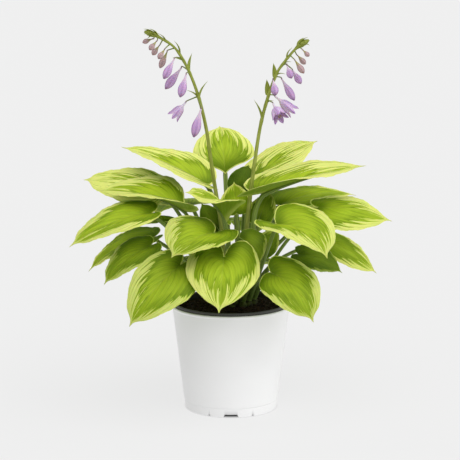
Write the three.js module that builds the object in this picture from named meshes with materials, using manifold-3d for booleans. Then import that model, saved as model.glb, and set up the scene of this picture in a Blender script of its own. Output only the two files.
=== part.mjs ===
// A potted hosta with cream-edged leaves and two flower stems.
// Millimetres, +Z up. The origin is the centre of the pot's foot, on the surface it stands on.

import * as THREE from 'three';
import { mergeVertices } from 'three/addons/utils/BufferGeometryUtils.js';
import Module from 'manifold-3d';

const wasm = await Module();
wasm.setup();

// Driving dimensions of the pots
const POT_SIDES = 36;
const POT_HEIGHT = 147;
const POT_TOP_RADIUS = 82.5;
const POT_FOOT_RADIUS = 65.5;
const POT_WALL = 1.6;
const FOOT_HEIGHT = 12.5;
const FOOT_STEP = 0.9;
const FLOOR_UNDERSIDE = 6;
const FLOOR_THICKNESS = 2;
const RIM_BEAD = 0.8;
const LINER_GAP = 0.4;
const LINER_WALL = 1.5;
const LINER_LIP_RISE = 4;
const LINER_LIP_WIDTH = 3;
const TOUCHING_GAP = 0.3;
const LINER_LIP_BEVEL = 0.6;
const FOOT_RIM_WIDTH = 1.6;
const FOOT_DRAFT = 1;
const RIM_HEIGHT = 4;
const DRAIN_NOTCH = { width: 22, height: 4.5, corner: 2.5, every: 120 };
const NOTCH_REACH = 10;
const SMALL_NOTCH = { width: 4, height: 2.5, corner: 0.8, offset: 28 };

// Driving dimensions of the soil and of the crown that the plant grows from
const SOIL_EDGE_HEIGHT = 140.5;
const SOIL_MIDDLE_HEIGHT = 149;
const SOIL_SLUMP = 1.5;
const SOIL_BORDER = 8;
const PIT_SIDES = 20;
const CROWN_RADIUS = 35;
const CROWN_SIDES = 20;
const CROWN_BEVEL = 9;
const BORE_SIDES = 5;
const CROWN_FOOT_HEIGHT = 112;
const CROWN_EDGE_HEIGHT = 147;
const CROWN_TOP_HEIGHT = 153;
const ROOTING_DEPTH = 14;
const BORE_ALLOWANCE = 1.25;
const CROWN_OFFSET = 4;

// Driving dimensions that all leaves share. Shares are of the blade's length or of the stalk's span.
const WIDEST_AT = 0.3;
const LOBE_SHARE = 0.42;
const LOBE_DROOP = 0.3;
const WAVE_SHIFT = 0.4;
const PETIOLE_SIDES = 5;
const PETIOLE_STEPS = 5;
const STALK_LEAN = 0.35;
const STALK_FOOT_RADIUS = 2.7;
const KEEL_END = 0.4;
const KEEL_DEPTH = 0.8;
const KEEL_TIP_SHARE = 0.21;

// A usual leaf. Arch and sweep bow the midrib in mm, up and to the right, and twist turns the tip.
// Lobe is how far the lobes reach back, and sinus how wide the notch between them starts. Fold lifts
// the halves, open is the share of the fold that is gone at the tip, and curl bends the edges down.
// Full is how round the edge stays towards the tip. Stalk is the stalk's radius where it meets the
// blade. Stand, arrive and elbow shape its rise and its turn into the blade.
const USUAL_LEAF = {
  arch: 10, sweep: 0, twist: 0, lobe: 0.13, sinus: 0.12, full: 0.45, fold: 12, open: 0.6, curl: -25,
  wave: { depth: 1.5, count: 2, start: 0 }, thickness: 0.9, rows: 7, columns: 3,
  stalk: 2.8, stand: 0.45, arrive: 0.3, elbow: 0.8,
};

const degrees = THREE.MathUtils.degToRad;
const point = (x, y, z) => new THREE.Vector3(x, y, z);

function direction(azimuth, elevation) {
  const flat = Math.cos(degrees(elevation));
  return point(
    flat * Math.cos(degrees(azimuth)),
    flat * Math.sin(degrees(azimuth)),
    Math.sin(degrees(elevation)),
  );
}

function polar(radius, azimuth, height) {
  return point(radius * Math.cos(degrees(azimuth)), radius * Math.sin(degrees(azimuth)), height);
}

// Solids

function solidOf(geometry) {
  const bare = geometry.clone();
  bare.deleteAttribute('normal');
  bare.deleteAttribute('uv');
  const merged = mergeVertices(bare, 1e-4);
  return new wasm.Manifold(new wasm.Mesh({
    numProp: 3,
    vertProperties: new Float32Array(merged.attributes.position.array),
    triVerts: new Uint32Array(merged.index.array),
  }));
}

function geometryOf(solid) {
  const mesh = solid.getMesh();
  const geometry = new THREE.BufferGeometry();
  geometry.setAttribute('position', new THREE.BufferAttribute(mesh.vertProperties, 3));
  geometry.setIndex(new THREE.BufferAttribute(mesh.triVerts, 1));
  geometry.computeVertexNormals();
  return geometry;
}

function joined(geometries) {
  return geometries.map(solidOf).reduce((whole, next) => whole.add(next));
}

function meshFrom(points, faces) {
  const geometry = new THREE.BufferGeometry();
  geometry.setFromPoints(points);
  geometry.setIndex(faces.flat());
  return geometry;
}

// A closed skin over rings of points that all have the same count, capped at both ends
function skin(rings) {
  const count = rings[0].length;
  const faces = [];
  for (let ring = 0; ring + 1 < rings.length; ring += 1) {
    for (let i = 0; i < count; i += 1) {
      const a = ring * count + i;
      const b = ring * count + ((i + 1) % count);
      faces.push([a, b, b + count], [a, b + count, a + count]);
    }
  }
  const last = (rings.length - 1) * count;
  for (let i = 1; i + 1 < count; i += 1) {
    faces.push([0, i + 1, i], [last, last + i, last + i + 1]);
  }
  return meshFrom(rings.flat(), faces);
}

// A round stem along a line of points, with a radius for each point
function stem(line, radii, sides) {
  const path = new THREE.CatmullRomCurve3(line);
  let across = null;
  const rings = line.map((centre, i) => {
    const along = path.getTangent(i / (line.length - 1));
    const start = across ?? (Math.abs(along.x) < 0.9 ? point(1, 0, 0) : point(0, 1, 0));
    across = start.clone().addScaledVector(along, -start.dot(along)).normalize();
    const other = along.clone().cross(across);
    return Array.from({ length: sides }, (_, k) => {
      const turn = (2 * Math.PI * k) / sides;
      return centre.clone()
        .addScaledVector(across, radii[i] * Math.cos(turn))
        .addScaledVector(other, radii[i] * Math.sin(turn));
    });
  });
  return skin(rings);
}

// Leaf blades

// The frame of a blade: its chord from stalk to tip, and the way its upper side faces
function bladeFrame(leaf) {
  const base = point(...leaf.base);
  const along = point(...leaf.tip).sub(base);
  const length = along.length();
  along.normalize();
  const up = direction(...leaf.face);
  up.addScaledVector(along, -up.dot(along)).normalize();
  return { base, along, up, side: along.clone().cross(up), length };
}

// A place on the midrib at share u of its length, with its own frame. Lobes have u below 0.
function midrib(leaf, u) {
  const { base, along, up, side, length } = bladeFrame(leaf);
  const { arch, sweep } = leaf;
  const bow = u < 0 ? 4 * u * LOBE_DROOP : 4 * u * (1 - u);
  const slope = 4 * (1 - 2 * Math.max(u, 0));
  const place = base.clone()
    .addScaledVector(along, length * u)
    .addScaledVector(up, arch * bow)
    .addScaledVector(side, sweep * bow);
  const ahead = along.clone().multiplyScalar(length)
    .addScaledVector(up, arch * slope)
    .addScaledVector(side, sweep * slope)
    .normalize();
  const twist = degrees(leaf.twist * Math.max(u, 0));
  const flatUp = up.clone().addScaledVector(ahead, -up.dot(ahead)).normalize();
  const flatSide = ahead.clone().cross(flatUp);
  const turnedUp = flatUp.clone().multiplyScalar(Math.cos(twist))
    .addScaledVector(flatSide, Math.sin(twist));
  return { place, ahead, up: turnedUp, side: ahead.clone().cross(turnedUp) };
}

const cubic = (a, b, c, d, t) => (
  a * (1 - t) ** 3 + 3 * b * t * (1 - t) ** 2 + 3 * c * t ** 2 * (1 - t) + d * t ** 3
);

// Some rows give one value for both halves of a blade, others one for the left and one for the right
const forHalf = (value, hand) => (Array.isArray(value) ? value[hand] : value);

// The edge of a blade at share s of the way from its stalk round a lobe to its tip,
// in shares of the blade's length and of its half width
function edge(leaf, s, hand) {
  const lobe = forHalf(leaf.lobe, hand);
  if (s < LOBE_SHARE) {
    const t = s / LOBE_SHARE;
    return [cubic(0, -1.5 * lobe, -1.25 * lobe, WIDEST_AT, t), cubic(0, leaf.sinus, 1, 1, t)];
  }
  const t = (s - LOBE_SHARE) / (1 - LOBE_SHARE);
  return [cubic(WIDEST_AT, 0.58, 0.82, 1, t), cubic(1, 1, forHalf(leaf.full, hand), 0, t)];
}

// A point of the upper side: s runs from stalk to tip, t from -1 at the left edge to 1 at the right
function bladePoint(leaf, s, t) {
  const hand = t < 0 ? 0 : 1;
  const [edgeAlong, edgeOut] = edge(leaf, s, hand);
  const out = Math.abs(t);
  const u = s * (1 - out) + edgeAlong * out;
  const halfWidth = forHalf(leaf.width, hand) / 2;
  const reach = halfWidth * edgeOut * out;
  const fold = degrees(forHalf(leaf.fold, hand)) * (1 - leaf.open * Math.max(u, 0));
  const curl = degrees(forHalf(leaf.curl, hand));
  const bend = curl / halfWidth;
  const angle = fold + bend * reach;
  const sideways = Math.abs(bend) < 1e-6
    ? reach * Math.cos(fold) : (Math.sin(angle) - Math.sin(fold)) / bend;
  const lift = Math.abs(bend) < 1e-6
    ? reach * Math.sin(fold) : (Math.cos(fold) - Math.cos(angle)) / bend;
  const { depth, count, start } = leaf.wave;
  const cycle = count * s + start + hand * WAVE_SHIFT;
  const wave = depth * out ** 2 * edgeOut * Math.sin(2 * Math.PI * cycle);
  const { place, side, up } = midrib(leaf, u);
  return place
    .addScaledVector(side, Math.sign(t) * sideways)
    .addScaledVector(up, lift + wave);
}

// A closed thin blade, split into triangles alike on both sides
function blade(leaf) {
  const { rows, columns } = leaf;
  const spread = [];
  for (let j = -columns; j <= columns; j += 1) {
    spread.push(j / columns);
  }
  const upper = [bladePoint(leaf, 0, 0)];
  for (let i = 1; i < rows; i += 1) {
    spread.forEach((t) => upper.push(bladePoint(leaf, i / rows, t)));
  }
  upper.push(bladePoint(leaf, 1, 0));
  const wide = spread.length;
  const tip = upper.length - 1;
  const at = (i, j) => 1 + (i - 1) * wide + j;
  const faces = [];
  for (let j = 0; j + 1 < wide; j += 1) {
    faces.push([0, at(1, j + 1), at(1, j)]);
    for (let i = 1; i + 1 < rows; i += 1) {
      faces.push([at(i, j), at(i, j + 1), at(i + 1, j + 1)]);
      faces.push([at(i, j), at(i + 1, j + 1), at(i + 1, j)]);
    }
    faces.push([tip, at(rows - 1, j), at(rows - 1, j + 1)]);
  }
  const outline = [0];
  for (let i = 1; i < rows; i += 1) {
    outline.push(at(i, wide - 1));
  }
  outline.push(tip);
  for (let i = rows - 1; i > 0; i -= 1) {
    outline.push(at(i, 0));
  }
  return thickened(upper, faces, outline, leaf.thickness);
}

// A sheet given a thickness: its upper side stays, and each point is repeated below it
function thickened(upper, faces, outline, thickness) {
  const sheet = meshFrom(upper, faces);
  sheet.computeVertexNormals();
  const normals = sheet.attributes.normal;
  const lower = upper.map((place, i) => (
    place.clone().addScaledVector(new THREE.Vector3().fromBufferAttribute(normals, i), -thickness)
  ));
  const below = upper.length;
  const closed = faces.concat(faces.map(([a, b, c]) => [below + a, below + c, below + b]));
  outline.forEach((a, k) => {
    const b = outline[(k + 1) % outline.length];
    closed.push([a, below + a, below + b], [a, below + b, b]);
  });
  return meshFrom(upper.concat(lower), closed);
}

// The stalk of a leaf, from its place in the crown to the blade, and on under the midrib as a keel
function petiole(leaf) {
  const root = rootOf(leaf);
  const ground = root.clone().setZ(CROWN_TOP_HEIGHT);
  const { place: joint, ahead } = midrib(leaf, 0);
  const span = joint.distanceTo(ground);
  const [towardsX, towardsY] = leaf.lean ?? [joint.x, joint.y];
  const outward = (Math.atan2(towardsY, towardsX - CROWN_OFFSET) * 180) / Math.PI;
  const lean = polar(STALK_LEAN, outward, 1).normalize();
  const rise = ground.clone().addScaledVector(lean, span * leaf.stand);
  const bent = ahead.clone().add(point(0, 0, leaf.elbow)).normalize();
  const arrive = joint.clone().addScaledVector(bent, -span * leaf.arrive);
  const path = new THREE.CubicBezierCurve3(ground, rise, arrive, joint);
  const line = [root, ...path.getPoints(PETIOLE_STEPS)];
  const radii = line.map((_, i) => {
    const risen = Math.max(0, i - 1) / PETIOLE_STEPS;
    return STALK_FOOT_RADIUS + (leaf.stalk - STALK_FOOT_RADIUS) * risen;
  });
  const { place: keelTip, up } = midrib(leaf, KEEL_END);
  line.push(keelTip.addScaledVector(up, -KEEL_DEPTH));
  radii.push(leaf.stalk * KEEL_TIP_SHARE);
  return stem(line, radii, PETIOLE_SIDES);
}

// Leaves stand in rings round the crown, counted from its right side towards the back.
// A slot may be a fraction. The last ring is the crown's middle.
const RINGS = [
  { radius: 29, slots: 18 },
  { radius: 20.5, slots: 12 },
  { radius: 12, slots: 7 },
  { radius: 0, slots: 1 },
];

function rootOf(growth) {
  const [ring, slot] = growth.root;
  return polar(RINGS[ring].radius, (360 / RINGS[ring].slots) * slot, CROWN_TOP_HEIGHT - ROOTING_DEPTH)
    .add(point(CROWN_OFFSET, 0, 0));
}

// Base and tip are the blade's two ends, and face is the azimuth and elevation its upper side faces.
// A pair of values is for the left and the right half, as seen from the stalk. Lean is where a stalk
// leans at first, if not towards its own blade. What a row leaves out is as on a usual leaf.
const LEAVES = [
  { name: 'leaf_top_centre', root: [2, 2.1], base: [-8, 91, 318], tip: [-17, 151, 381], face: [-90, 48],
    width: 90, arch: 12, lobe: -0.1, sinus: 0.3, full: 0.5, fold: 18, stalk: 3.4 },
  { name: 'leaf_upper_left', root: [1, 4.9], base: [-32, 42, 309], tip: [-156, 62, 361], face: [-90, 72],
    width: [88, 94], fold: [36, 26], twist: 10, stalk: 3.2, arch: 6, lobe: [0.13, 0.05] },
  { name: 'leaf_upper_right_back', root: [1, 2.1], base: [32, 66, 317], tip: [125, 95, 366],
    face: [-80, 66], width: [64, 80], arch: 6, fold: [20, 24] },
  { name: 'leaf_upper_right', root: [1, 11.7], base: [43, -8, 305], tip: [188, 12, 341], face: [-90, 86],
    width: [100, 80], arch: 5, fold: [36, 42], open: 0.8, twist: 10, sinus: 0.3, lobe: [0.14, 0.25],
    stalk: 4 },
  { name: 'leaf_far_left', root: [0, 7.6], base: [-100, 45, 305], tip: [-210, 60, 314], face: [-90, 60],
    width: [84, 64], arch: 8, fold: [0, 12], full: [0.6, 0.45] },
  { name: 'leaf_left', root: [1, 5.9], base: [-62, 0, 278], tip: [-186, -5, 308], face: [-90, 72],
    width: [80, 112], arch: 12, fold: [60, 30], open: 1, lobe: [0.1, -0.05] },
  { name: 'leaf_left_middle', root: [0, 9.8], base: [-108, -35, 282], tip: [-219, -72, 241],
    face: [-90, 66], width: [66, 82], arch: 12, lobe: [0.08, 0.13], fold: [26, 12], open: 1 },
  { name: 'leaf_left_low', root: [0, 8.6], base: [-108, 12, 240], tip: [-200, 5, 192], face: [-100, 76],
    width: [60, 74], arch: 12, fold: [20, 16], rows: 6, columns: 2 },
  { name: 'leaf_left_lower_front', root: [0, 10.8], base: [-109, -39, 238], tip: [-173, -68, 188],
    face: [-110, 54], width: [50, 62], rows: 6, columns: 2 },
  { name: 'leaf_front_left_bottom', root: [0, 12], base: [-67, -85, 220], tip: [-135, -133, 145],
    face: [-105, 42], width: [94, 88], arch: 12, lobe: 0.16 },
  { name: 'leaf_front_left', root: [1, 8], base: [-22, -70, 261], tip: [-79, -128, 237], face: [-90, 58],
    width: [68, 108], lobe: [0.3, 0.2], sinus: 0.25, full: [0.45, 0.6], fold: [20, 12] },
  { name: 'leaf_front_centre', root: [0, 13.3], base: [-9, -80, 230], tip: [-16, -153, 168],
    face: [-90, 42], width: 100, lobe: 0.32 },
  { name: 'leaf_front_right_bottom', root: [0, 14.8], base: [53, -85, 209], tip: [109, -138, 152],
    face: [-80, 38], width: [80, 74], arch: 12, lobe: [0.16, 0.05], sweep: -6, full: [0.45, 0.7] },
  { name: 'leaf_front_right', root: [0, 15.8], base: [60, -78, 274], tip: [127, -128, 236], face: [-70, 58],
    width: [98, 80], arch: 12, fold: [24, 30], sweep: -7, lobe: [0.1, 0.26], sinus: 0.3, full: [0.6, 0.4],
    lean: [80, -24], stand: 0.6, elbow: 2.5 },
  { name: 'leaf_far_right', root: [0, 17.8], base: [120, 5, 283], tip: [223, -15, 267], face: [-90, 54],
    width: [60, 78], full: [0.1, 0.55], fold: [4, 0] },
  { name: 'leaf_right_back', root: [0, 0.6], base: [68, 60, 278], tip: [180, 78, 289], face: [-90, 86],
    width: 80, fold: [32, -12], open: 1 },
  { name: 'leaf_right_low_dark', root: [0, 17], base: [93, -26, 223], tip: [153, -40, 199], face: [-90, 60],
    width: 52, arch: 8, rows: 6, columns: 2 },
  { name: 'leaf_right_low', root: [0, 1.6], base: [131, 36, 234], tip: [207, 32, 184], face: [-80, 44],
    width: [42, 50], arch: 8, arrive: 0.45, rows: 6, full: [0.3, 0.5], columns: 2 },
  { name: 'leaf_behind_front', root: [1, 9.2], base: [12, -47, 250], tip: [40, -72, 218], face: [-80, 45],
    width: [58, 26], arch: 8, lobe: [0.13, 0], fold: [16, -20], rows: 6, columns: 2 },
  { name: 'leaf_inner_front', root: [2, 4.9], base: [-6, -40, 268], tip: [-62, -64, 315], face: [70, 80],
    width: [108, 56], arch: 12, fold: [66, 50], open: 1, twist: -45, lobe: [-0.15, 0.1], sinus: 0.3,
    stalk: 3.4, full: [0.35, 0.45] },
  { name: 'leaf_inner_tip', root: [2, 6], base: [8, 8, 274], tip: [4, 2, 320], face: [-90, 10], width: 46,
    arch: 3, lobe: 0.05, rows: 5, columns: 2 },
  { name: 'leaf_inner_right', root: [1, 0.55], base: [38, 14, 262], tip: [57, 34, 300], face: [-100, 40],
    width: 40, arch: 4, rows: 5, columns: 2 },
  { name: 'leaf_inner_back', root: [2, 1.2], base: [10, 30, 300], tip: [25, 46, 338], face: [-90, 12],
    width: 40, arch: 4, lobe: 0.06, rows: 5, columns: 2 },
  { name: 'leaf_inner_left', root: [1, 6.95], base: [-38, -16, 240], tip: [-72, -4, 272], face: [-90, 25],
    width: 40, arch: 4, rows: 5, columns: 2 },
  { name: 'leaf_inner_low_right', root: [1, 10.4], base: [40, -24, 226], tip: [66, -18, 256],
    face: [-80, 20], width: 34, arch: 4, rows: 5, columns: 2 },
  { name: 'leaf_inner_shade', root: [3, 0], base: [-16, 15, 248], tip: [-42, 16, 288], face: [-90, 4],
    width: 36, arch: 3, rows: 5, columns: 2, stand: 0.45, arrive: 0.5 },
  { name: 'leaf_back_centre', root: [1, 3.3], base: [26, 76, 250], tip: [28, 154, 212], face: [80, 70],
    width: 76, arch: 16, rows: 6, columns: 2 },
  { name: 'leaf_back_right', root: [1, 1.35], base: [79, 88, 279], tip: [133, 150, 248], face: [50, 65],
    width: 78, arch: 14, rows: 6, columns: 2 },
  { name: 'leaf_back_far_right', root: [0, 2.6], base: [96, 84, 252], tip: [160, 136, 228], face: [40, 60],
    width: 72, arch: 14, rows: 6, columns: 2 },
  { name: 'leaf_back_left', root: [1, 4.1], base: [-56, 72, 276], tip: [-112, 151, 246], face: [120, 65],
    width: 80, arch: 14, rows: 6, columns: 2 },
  { name: 'leaf_back_far_left', root: [0, 6.8], base: [-92, 66, 252], tip: [-172, 118, 228],
    face: [140, 65], width: 76, arch: 12, rows: 6, columns: 2 },
  { name: 'leaf_back_low', root: [0, 4.6], base: [0, 70, 205], tip: [0, 150, 151], face: [90, 55],
    width: 72, arch: 12, rows: 6, columns: 2 },
  { name: 'leaf_back_low_right', root: [0, 3.7], base: [44, 66, 198], tip: [102, 120, 149], face: [50, 50],
    width: 66, rows: 6, columns: 2 },
  { name: 'leaf_back_low_left', root: [0, 5.8], base: [-48, 63, 203], tip: [-106, 116, 155],
    face: [135, 50], width: 66, rows: 6, columns: 2 },
].map((row) => ({ ...USUAL_LEAF, ...row }));

// Flower stems
const SCAPES = [
  {
    name: 'flower_stem_left',
    root: [2, 3.4],
    line: [[-11, 5, 190], [-13, 6, 252], [-21, 4, 304], [-28, -5, 352], [-34, -11, 395],
      [-44, -15, 438], [-58, -18, 476], [-76, -21, 506], [-98, -23, 521], [-107, -24, 525],
      [-112, -24, 527], [-117, -25, 528]],
    thick: [3.6, 3.4, 3.2, 2.8, 2.5, 2.4, 2.2, 1.9, 1.6, 1.8, 4, 4.2, 1.4],
    bracts: [
      [[-43, -15, 437], [-32, -18, 461], 9], [[-56, -18, 473], [-53, -20, 499], 8],
      [[-70, -20, 498], [-77, -22, 516], 7], [[-88, -22, 514], [-99, -24, 526], 6],
      [[-44, -15, 436], [-60, -12, 448], 8], [[-65, -20, 489], [-79, -22, 493], 7],
      [[-100, -24, 522], [-113, -28, 519], 9], [[-99, -22, 521], [-110, -22, 532], 9],
      [[-104, -24, 524], [-118, -27, 532], 9], [[-103, -22, 523], [-118, -19, 526], 9],
      [[-103, -25, 523], [-117, -31, 525], 9],
    ],
  },
  {
    name: 'flower_stem_right',
    root: [2, 0.4],
    line: [[21, 4, 190], [22, 1, 252], [27, -8, 305], [33, -4, 350], [40, 10, 393], [49, 9, 430],
      [61, 10, 465], [72, 11, 483], [88, 12, 502], [97, 12, 509], [102, 12, 512],
      [107, 12, 515]],
    thick: [3.6, 3.4, 3.2, 2.9, 2.6, 2.4, 2.2, 2, 1.7, 1.8, 4, 4, 1.4],
    bracts: [
      [[42, 11, 404], [32, 7, 433], 9], [[50, 10, 439], [49, 6, 462], 8],
      [[59, 10, 464], [58, 8, 484], 7], [[77, 11, 490], [84, 9, 505], 6],
      [[49, 9, 427], [59, 14, 431], 6], [[62, 10, 466], [75, 13, 468], 6],
      [[71, 11, 480], [83, 14, 485], 6], [[95, 12, 508], [105, 9, 519], 9],
      [[95, 13, 507], [109, 16, 514], 9], [[93, 12, 506], [100, 15, 518], 9],
      [[95, 11, 507], [108, 7, 508], 9],
    ],
  },
];

// from is where a flower's stalk leaves the stem, and base and tip are the flower's two ends
const BLOOMS = [
  { name: 'bud_left_1', stem: 0, from: [-44, -15, 438], base: [-41, -22, 423], tip: [-51, -26, 385],
    width: 13 },
  { name: 'flower_left_2', stem: 0, from: [-45, -15, 440], base: [-62, -8, 431], tip: [-80, -4, 410],
    width: 17, open: true },
  { name: 'bud_left_3', stem: 0, from: [-56, -18, 473], base: [-61, -25, 470], tip: [-69, -30, 440],
    width: 12 },
  { name: 'bud_left_4', stem: 0, from: [-57, -18, 475], base: [-68, -10, 478], tip: [-90, -6, 449],
    width: 12 },
  { name: 'bud_left_5', stem: 0, from: [-66, -20, 490], base: [-77, -28, 491], tip: [-91, -33, 465],
    width: 11 },
  { name: 'bud_left_6', stem: 0, from: [-76, -21, 506], base: [-87, -14, 500], tip: [-97, -11, 478],
    width: 9 },
  { name: 'bud_left_7', stem: 0, from: [-83, -21, 511], base: [-90, -30, 504], tip: [-98, -34, 492],
    width: 8 },
  { name: 'bud_left_8', stem: 0, from: [-92, -22, 518], base: [-98, -16, 508], tip: [-107, -14, 496],
    width: 8 },
  { name: 'bud_left_9', stem: 0, from: [-99, -23, 522], base: [-101, -31, 515], tip: [-110, -34, 504],
    width: 8 },
  { name: 'bud_left_10', stem: 0, from: [-104, -23, 526], base: [-107, -19, 518],
    tip: [-120, -17, 513], width: 7 },
  { name: 'flower_right_1', stem: 1, from: [50, 9, 433], base: [58, 1, 428], tip: [68, -17, 409],
    width: 21, open: true },
  { name: 'flower_right_2', stem: 1, from: [52, 10, 440], base: [61, 17, 437], tip: [88, 22, 414],
    width: 17, open: true },
  { name: 'bud_right_3', stem: 1, from: [59, 10, 461], base: [58, 3, 460], tip: [61, -3, 440],
    width: 11 },
  { name: 'bud_right_4', stem: 1, from: [61, 10, 465], base: [70, 16, 461], tip: [88, 20, 431],
    width: 11 },
  { name: 'bud_right_5', stem: 1, from: [70, 11, 480], base: [77, 4, 480], tip: [83, 0, 463],
    width: 10 },
  { name: 'bud_right_6', stem: 1, from: [73, 11, 484], base: [85, 18, 473], tip: [97, 21, 454],
    width: 10 },
  { name: 'bud_right_7', stem: 1, from: [81, 11, 494], base: [88, 4, 487], tip: [100, 1, 470],
    width: 9 },
  { name: 'bud_right_8', stem: 1, from: [87, 12, 501], base: [92, 18, 493], tip: [103, 21, 481],
    width: 8 },
  { name: 'bud_right_9', stem: 1, from: [93, 12, 506], base: [99, 5, 501], tip: [107, 3, 493],
    width: 7 },
];

// Small leaves on the flower stems
const BRACT = {
  arch: 2, sweep: 0, twist: 0, lobe: 0, sinus: 0.5, full: 0.2, fold: 25, open: 0.6, curl: 0,
  wave: { depth: 0, count: 0, start: 0 }, thickness: 0.8, rows: 3, columns: 1,
};
const BRACT_TILT = 30;
const STEM_SIDES = 6;
const FLOWER_STALK = { radii: [1.1, 0.9, 0.9], sides: 4, neck: 2.5 };

// Flowers. Each pair is a share of the length, and the radius there as a share of the full one.
const BUD_PROFILE = [
  [0, 0.18], [0.14, 0.28], [0.32, 0.56], [0.52, 0.92], [0.68, 1], [0.86, 0.74], [1, 0.16],
];
const BUD_SIDES = 5;
const BELL_SIDES = 12;
const BELL_PROFILE = [[0, 0.14], [0.22, 0.2], [0.4, 0.64], [0.6, 0.88], [0.82, 1], [1, 1.16]];
const BELL_WALL = 0.7;
const LOBES_START = 0.6;
const NOTCH_DEPTH = 0.6;
const NOTCH_DRAW = 0.7;
const MOUTH_BEVEL = 0.2;

function axisOf(bloom) {
  const base = point(...bloom.base);
  const tip = point(...bloom.tip);
  return { base, along: tip.clone().sub(base) };
}

function bud(bloom) {
  const { base, along } = axisOf(bloom);
  const line = BUD_PROFILE.map(([share]) => base.clone().addScaledVector(along, share));
  return stem(line, BUD_PROFILE.map(([, r]) => (r * bloom.width) / 2), BUD_SIDES);
}

// An open flower: a narrow tube that widens into a bell with six pointed lobes
function bell(bloom) {
  const { base, along } = axisOf(bloom);
  const length = along.length();
  const axis = along.clone().normalize();
  const across = point(0, 1, 0).addScaledVector(axis, -axis.y).normalize();
  const other = axis.clone().cross(across);
  const ring = (share, radius, ahead) => Array.from({ length: BELL_SIDES }, (_, k) => {
    const turn = (2 * Math.PI * k) / BELL_SIDES;
    const notched = k % 2 === 1 ? Math.max(0, share - LOBES_START) : 0;
    const drawn = radius * (1 - NOTCH_DRAW * notched);
    return base.clone()
      .addScaledVector(axis, length * (share - NOTCH_DEPTH * notched) + ahead)
      .addScaledVector(across, drawn * Math.cos(turn))
      .addScaledVector(other, drawn * Math.sin(turn));
  });
  const radii = BELL_PROFILE.map(([share, r]) => [share, (r * bloom.width) / 2]);
  const outside = radii.map(([share, radius]) => ring(share, radius, 0));
  const inside = radii.slice(2).reverse()
    .map(([share, radius]) => ring(share, radius - BELL_WALL, share < 1 ? 0 : -MOUTH_BEVEL));
  return skin([...outside, ...inside]);
}

function bract([base, tip, width]) {
  const foot = point(...base);
  const lean = point(...tip).sub(foot);
  const facing = (Math.atan2(lean.y, lean.x) * 180) / Math.PI;
  return blade({ ...BRACT, base, tip, width, face: [facing + 180, BRACT_TILT] });
}

function flowerStem(scape, index) {
  const root = rootOf(scape);
  const line = [root, root.clone().setZ(CROWN_TOP_HEIGHT), ...scape.line.map((p) => point(...p))];
  const parts = [stem(line, [scape.thick[0], ...scape.thick], STEM_SIDES)];
  scape.bracts.forEach((row) => parts.push(bract(row)));
  BLOOMS.filter((bloom) => bloom.stem === index).forEach((bloom) => {
    const start = point(...bloom.from);
    const { base, along } = axisOf(bloom);
    const end = base.clone().addScaledVector(along.normalize(), -TOUCHING_GAP);
    const neck = end.clone().addScaledVector(along, -FLOWER_STALK.neck);
    parts.push(stem([start, neck, end], FLOWER_STALK.radii, FLOWER_STALK.sides));
  });
  return joined(parts);
}

// Pots

function turned(profile, sides = POT_SIDES) {
  return new THREE.LatheGeometry(profile.map(([x, y]) => new THREE.Vector2(x, y)), sides)
    .rotateX(Math.PI / 2);
}

const floorTop = FLOOR_UNDERSIDE + FLOOR_THICKNESS;

const wallRadiusAt = (height) => (
  POT_FOOT_RADIUS + FOOT_STEP
  + ((POT_TOP_RADIUS - POT_FOOT_RADIUS - FOOT_STEP) * (height - FOOT_HEIGHT)) / (POT_HEIGHT - FOOT_HEIGHT)
);

// A cutter for a notch with sloping ends in the pot's foot
function notch({ width, height, corner }, azimuth) {
  const half = width / 2;
  const outline = new THREE.Shape();
  outline.moveTo(-half, -1);
  outline.lineTo(half, -1);
  outline.lineTo(half, 0);
  outline.lineTo(half - corner, height);
  outline.lineTo(corner - half, height);
  outline.lineTo(-half, 0);
  const cutter = new THREE.ExtrudeGeometry(outline, { depth: NOTCH_REACH * 1.5, bevelEnabled: false });
  cutter.rotateX(Math.PI / 2);
  cutter.translate(0, NOTCH_REACH - POT_FOOT_RADIUS, 0);
  cutter.rotateZ(degrees(azimuth));
  return solidOf(cutter);
}

function outerPot() {
  const footOut = POT_FOOT_RADIUS - FOOT_DRAFT;
  const footIn = footOut - FOOT_RIM_WIDTH;
  let pot = solidOf(turned([
    [0, FLOOR_UNDERSIDE],
    [footIn, FLOOR_UNDERSIDE],
    [footIn, 0],
    [footOut, 0],
    [POT_FOOT_RADIUS, FOOT_HEIGHT],
    [wallRadiusAt(FOOT_HEIGHT), FOOT_HEIGHT + FOOT_STEP],
    [wallRadiusAt(POT_HEIGHT - RIM_HEIGHT), POT_HEIGHT - RIM_HEIGHT],
    [POT_TOP_RADIUS + RIM_BEAD, POT_HEIGHT - 0.65 * RIM_HEIGHT],
    [POT_TOP_RADIUS + RIM_BEAD, POT_HEIGHT - 0.25 * RIM_HEIGHT],
    [POT_TOP_RADIUS, POT_HEIGHT],
    [POT_TOP_RADIUS - POT_WALL, POT_HEIGHT],
    [wallRadiusAt(FLOOR_UNDERSIDE) - POT_WALL, floorTop],
    [0, floorTop],
  ]));
  for (let azimuth = 0; azimuth < 360; azimuth += DRAIN_NOTCH.every) {
    pot = pot.subtract(notch(DRAIN_NOTCH, azimuth));
    pot = pot.subtract(notch(SMALL_NOTCH, azimuth + SMALL_NOTCH.offset));
    pot = pot.subtract(notch(SMALL_NOTCH, azimuth - SMALL_NOTCH.offset));
  }
  return pot;
}

const linerRadiusAt = (height) => wallRadiusAt(height) - POT_WALL - LINER_GAP;
const linerFloor = floorTop + TOUCHING_GAP;
const lipTop = POT_HEIGHT + LINER_LIP_RISE;

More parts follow.
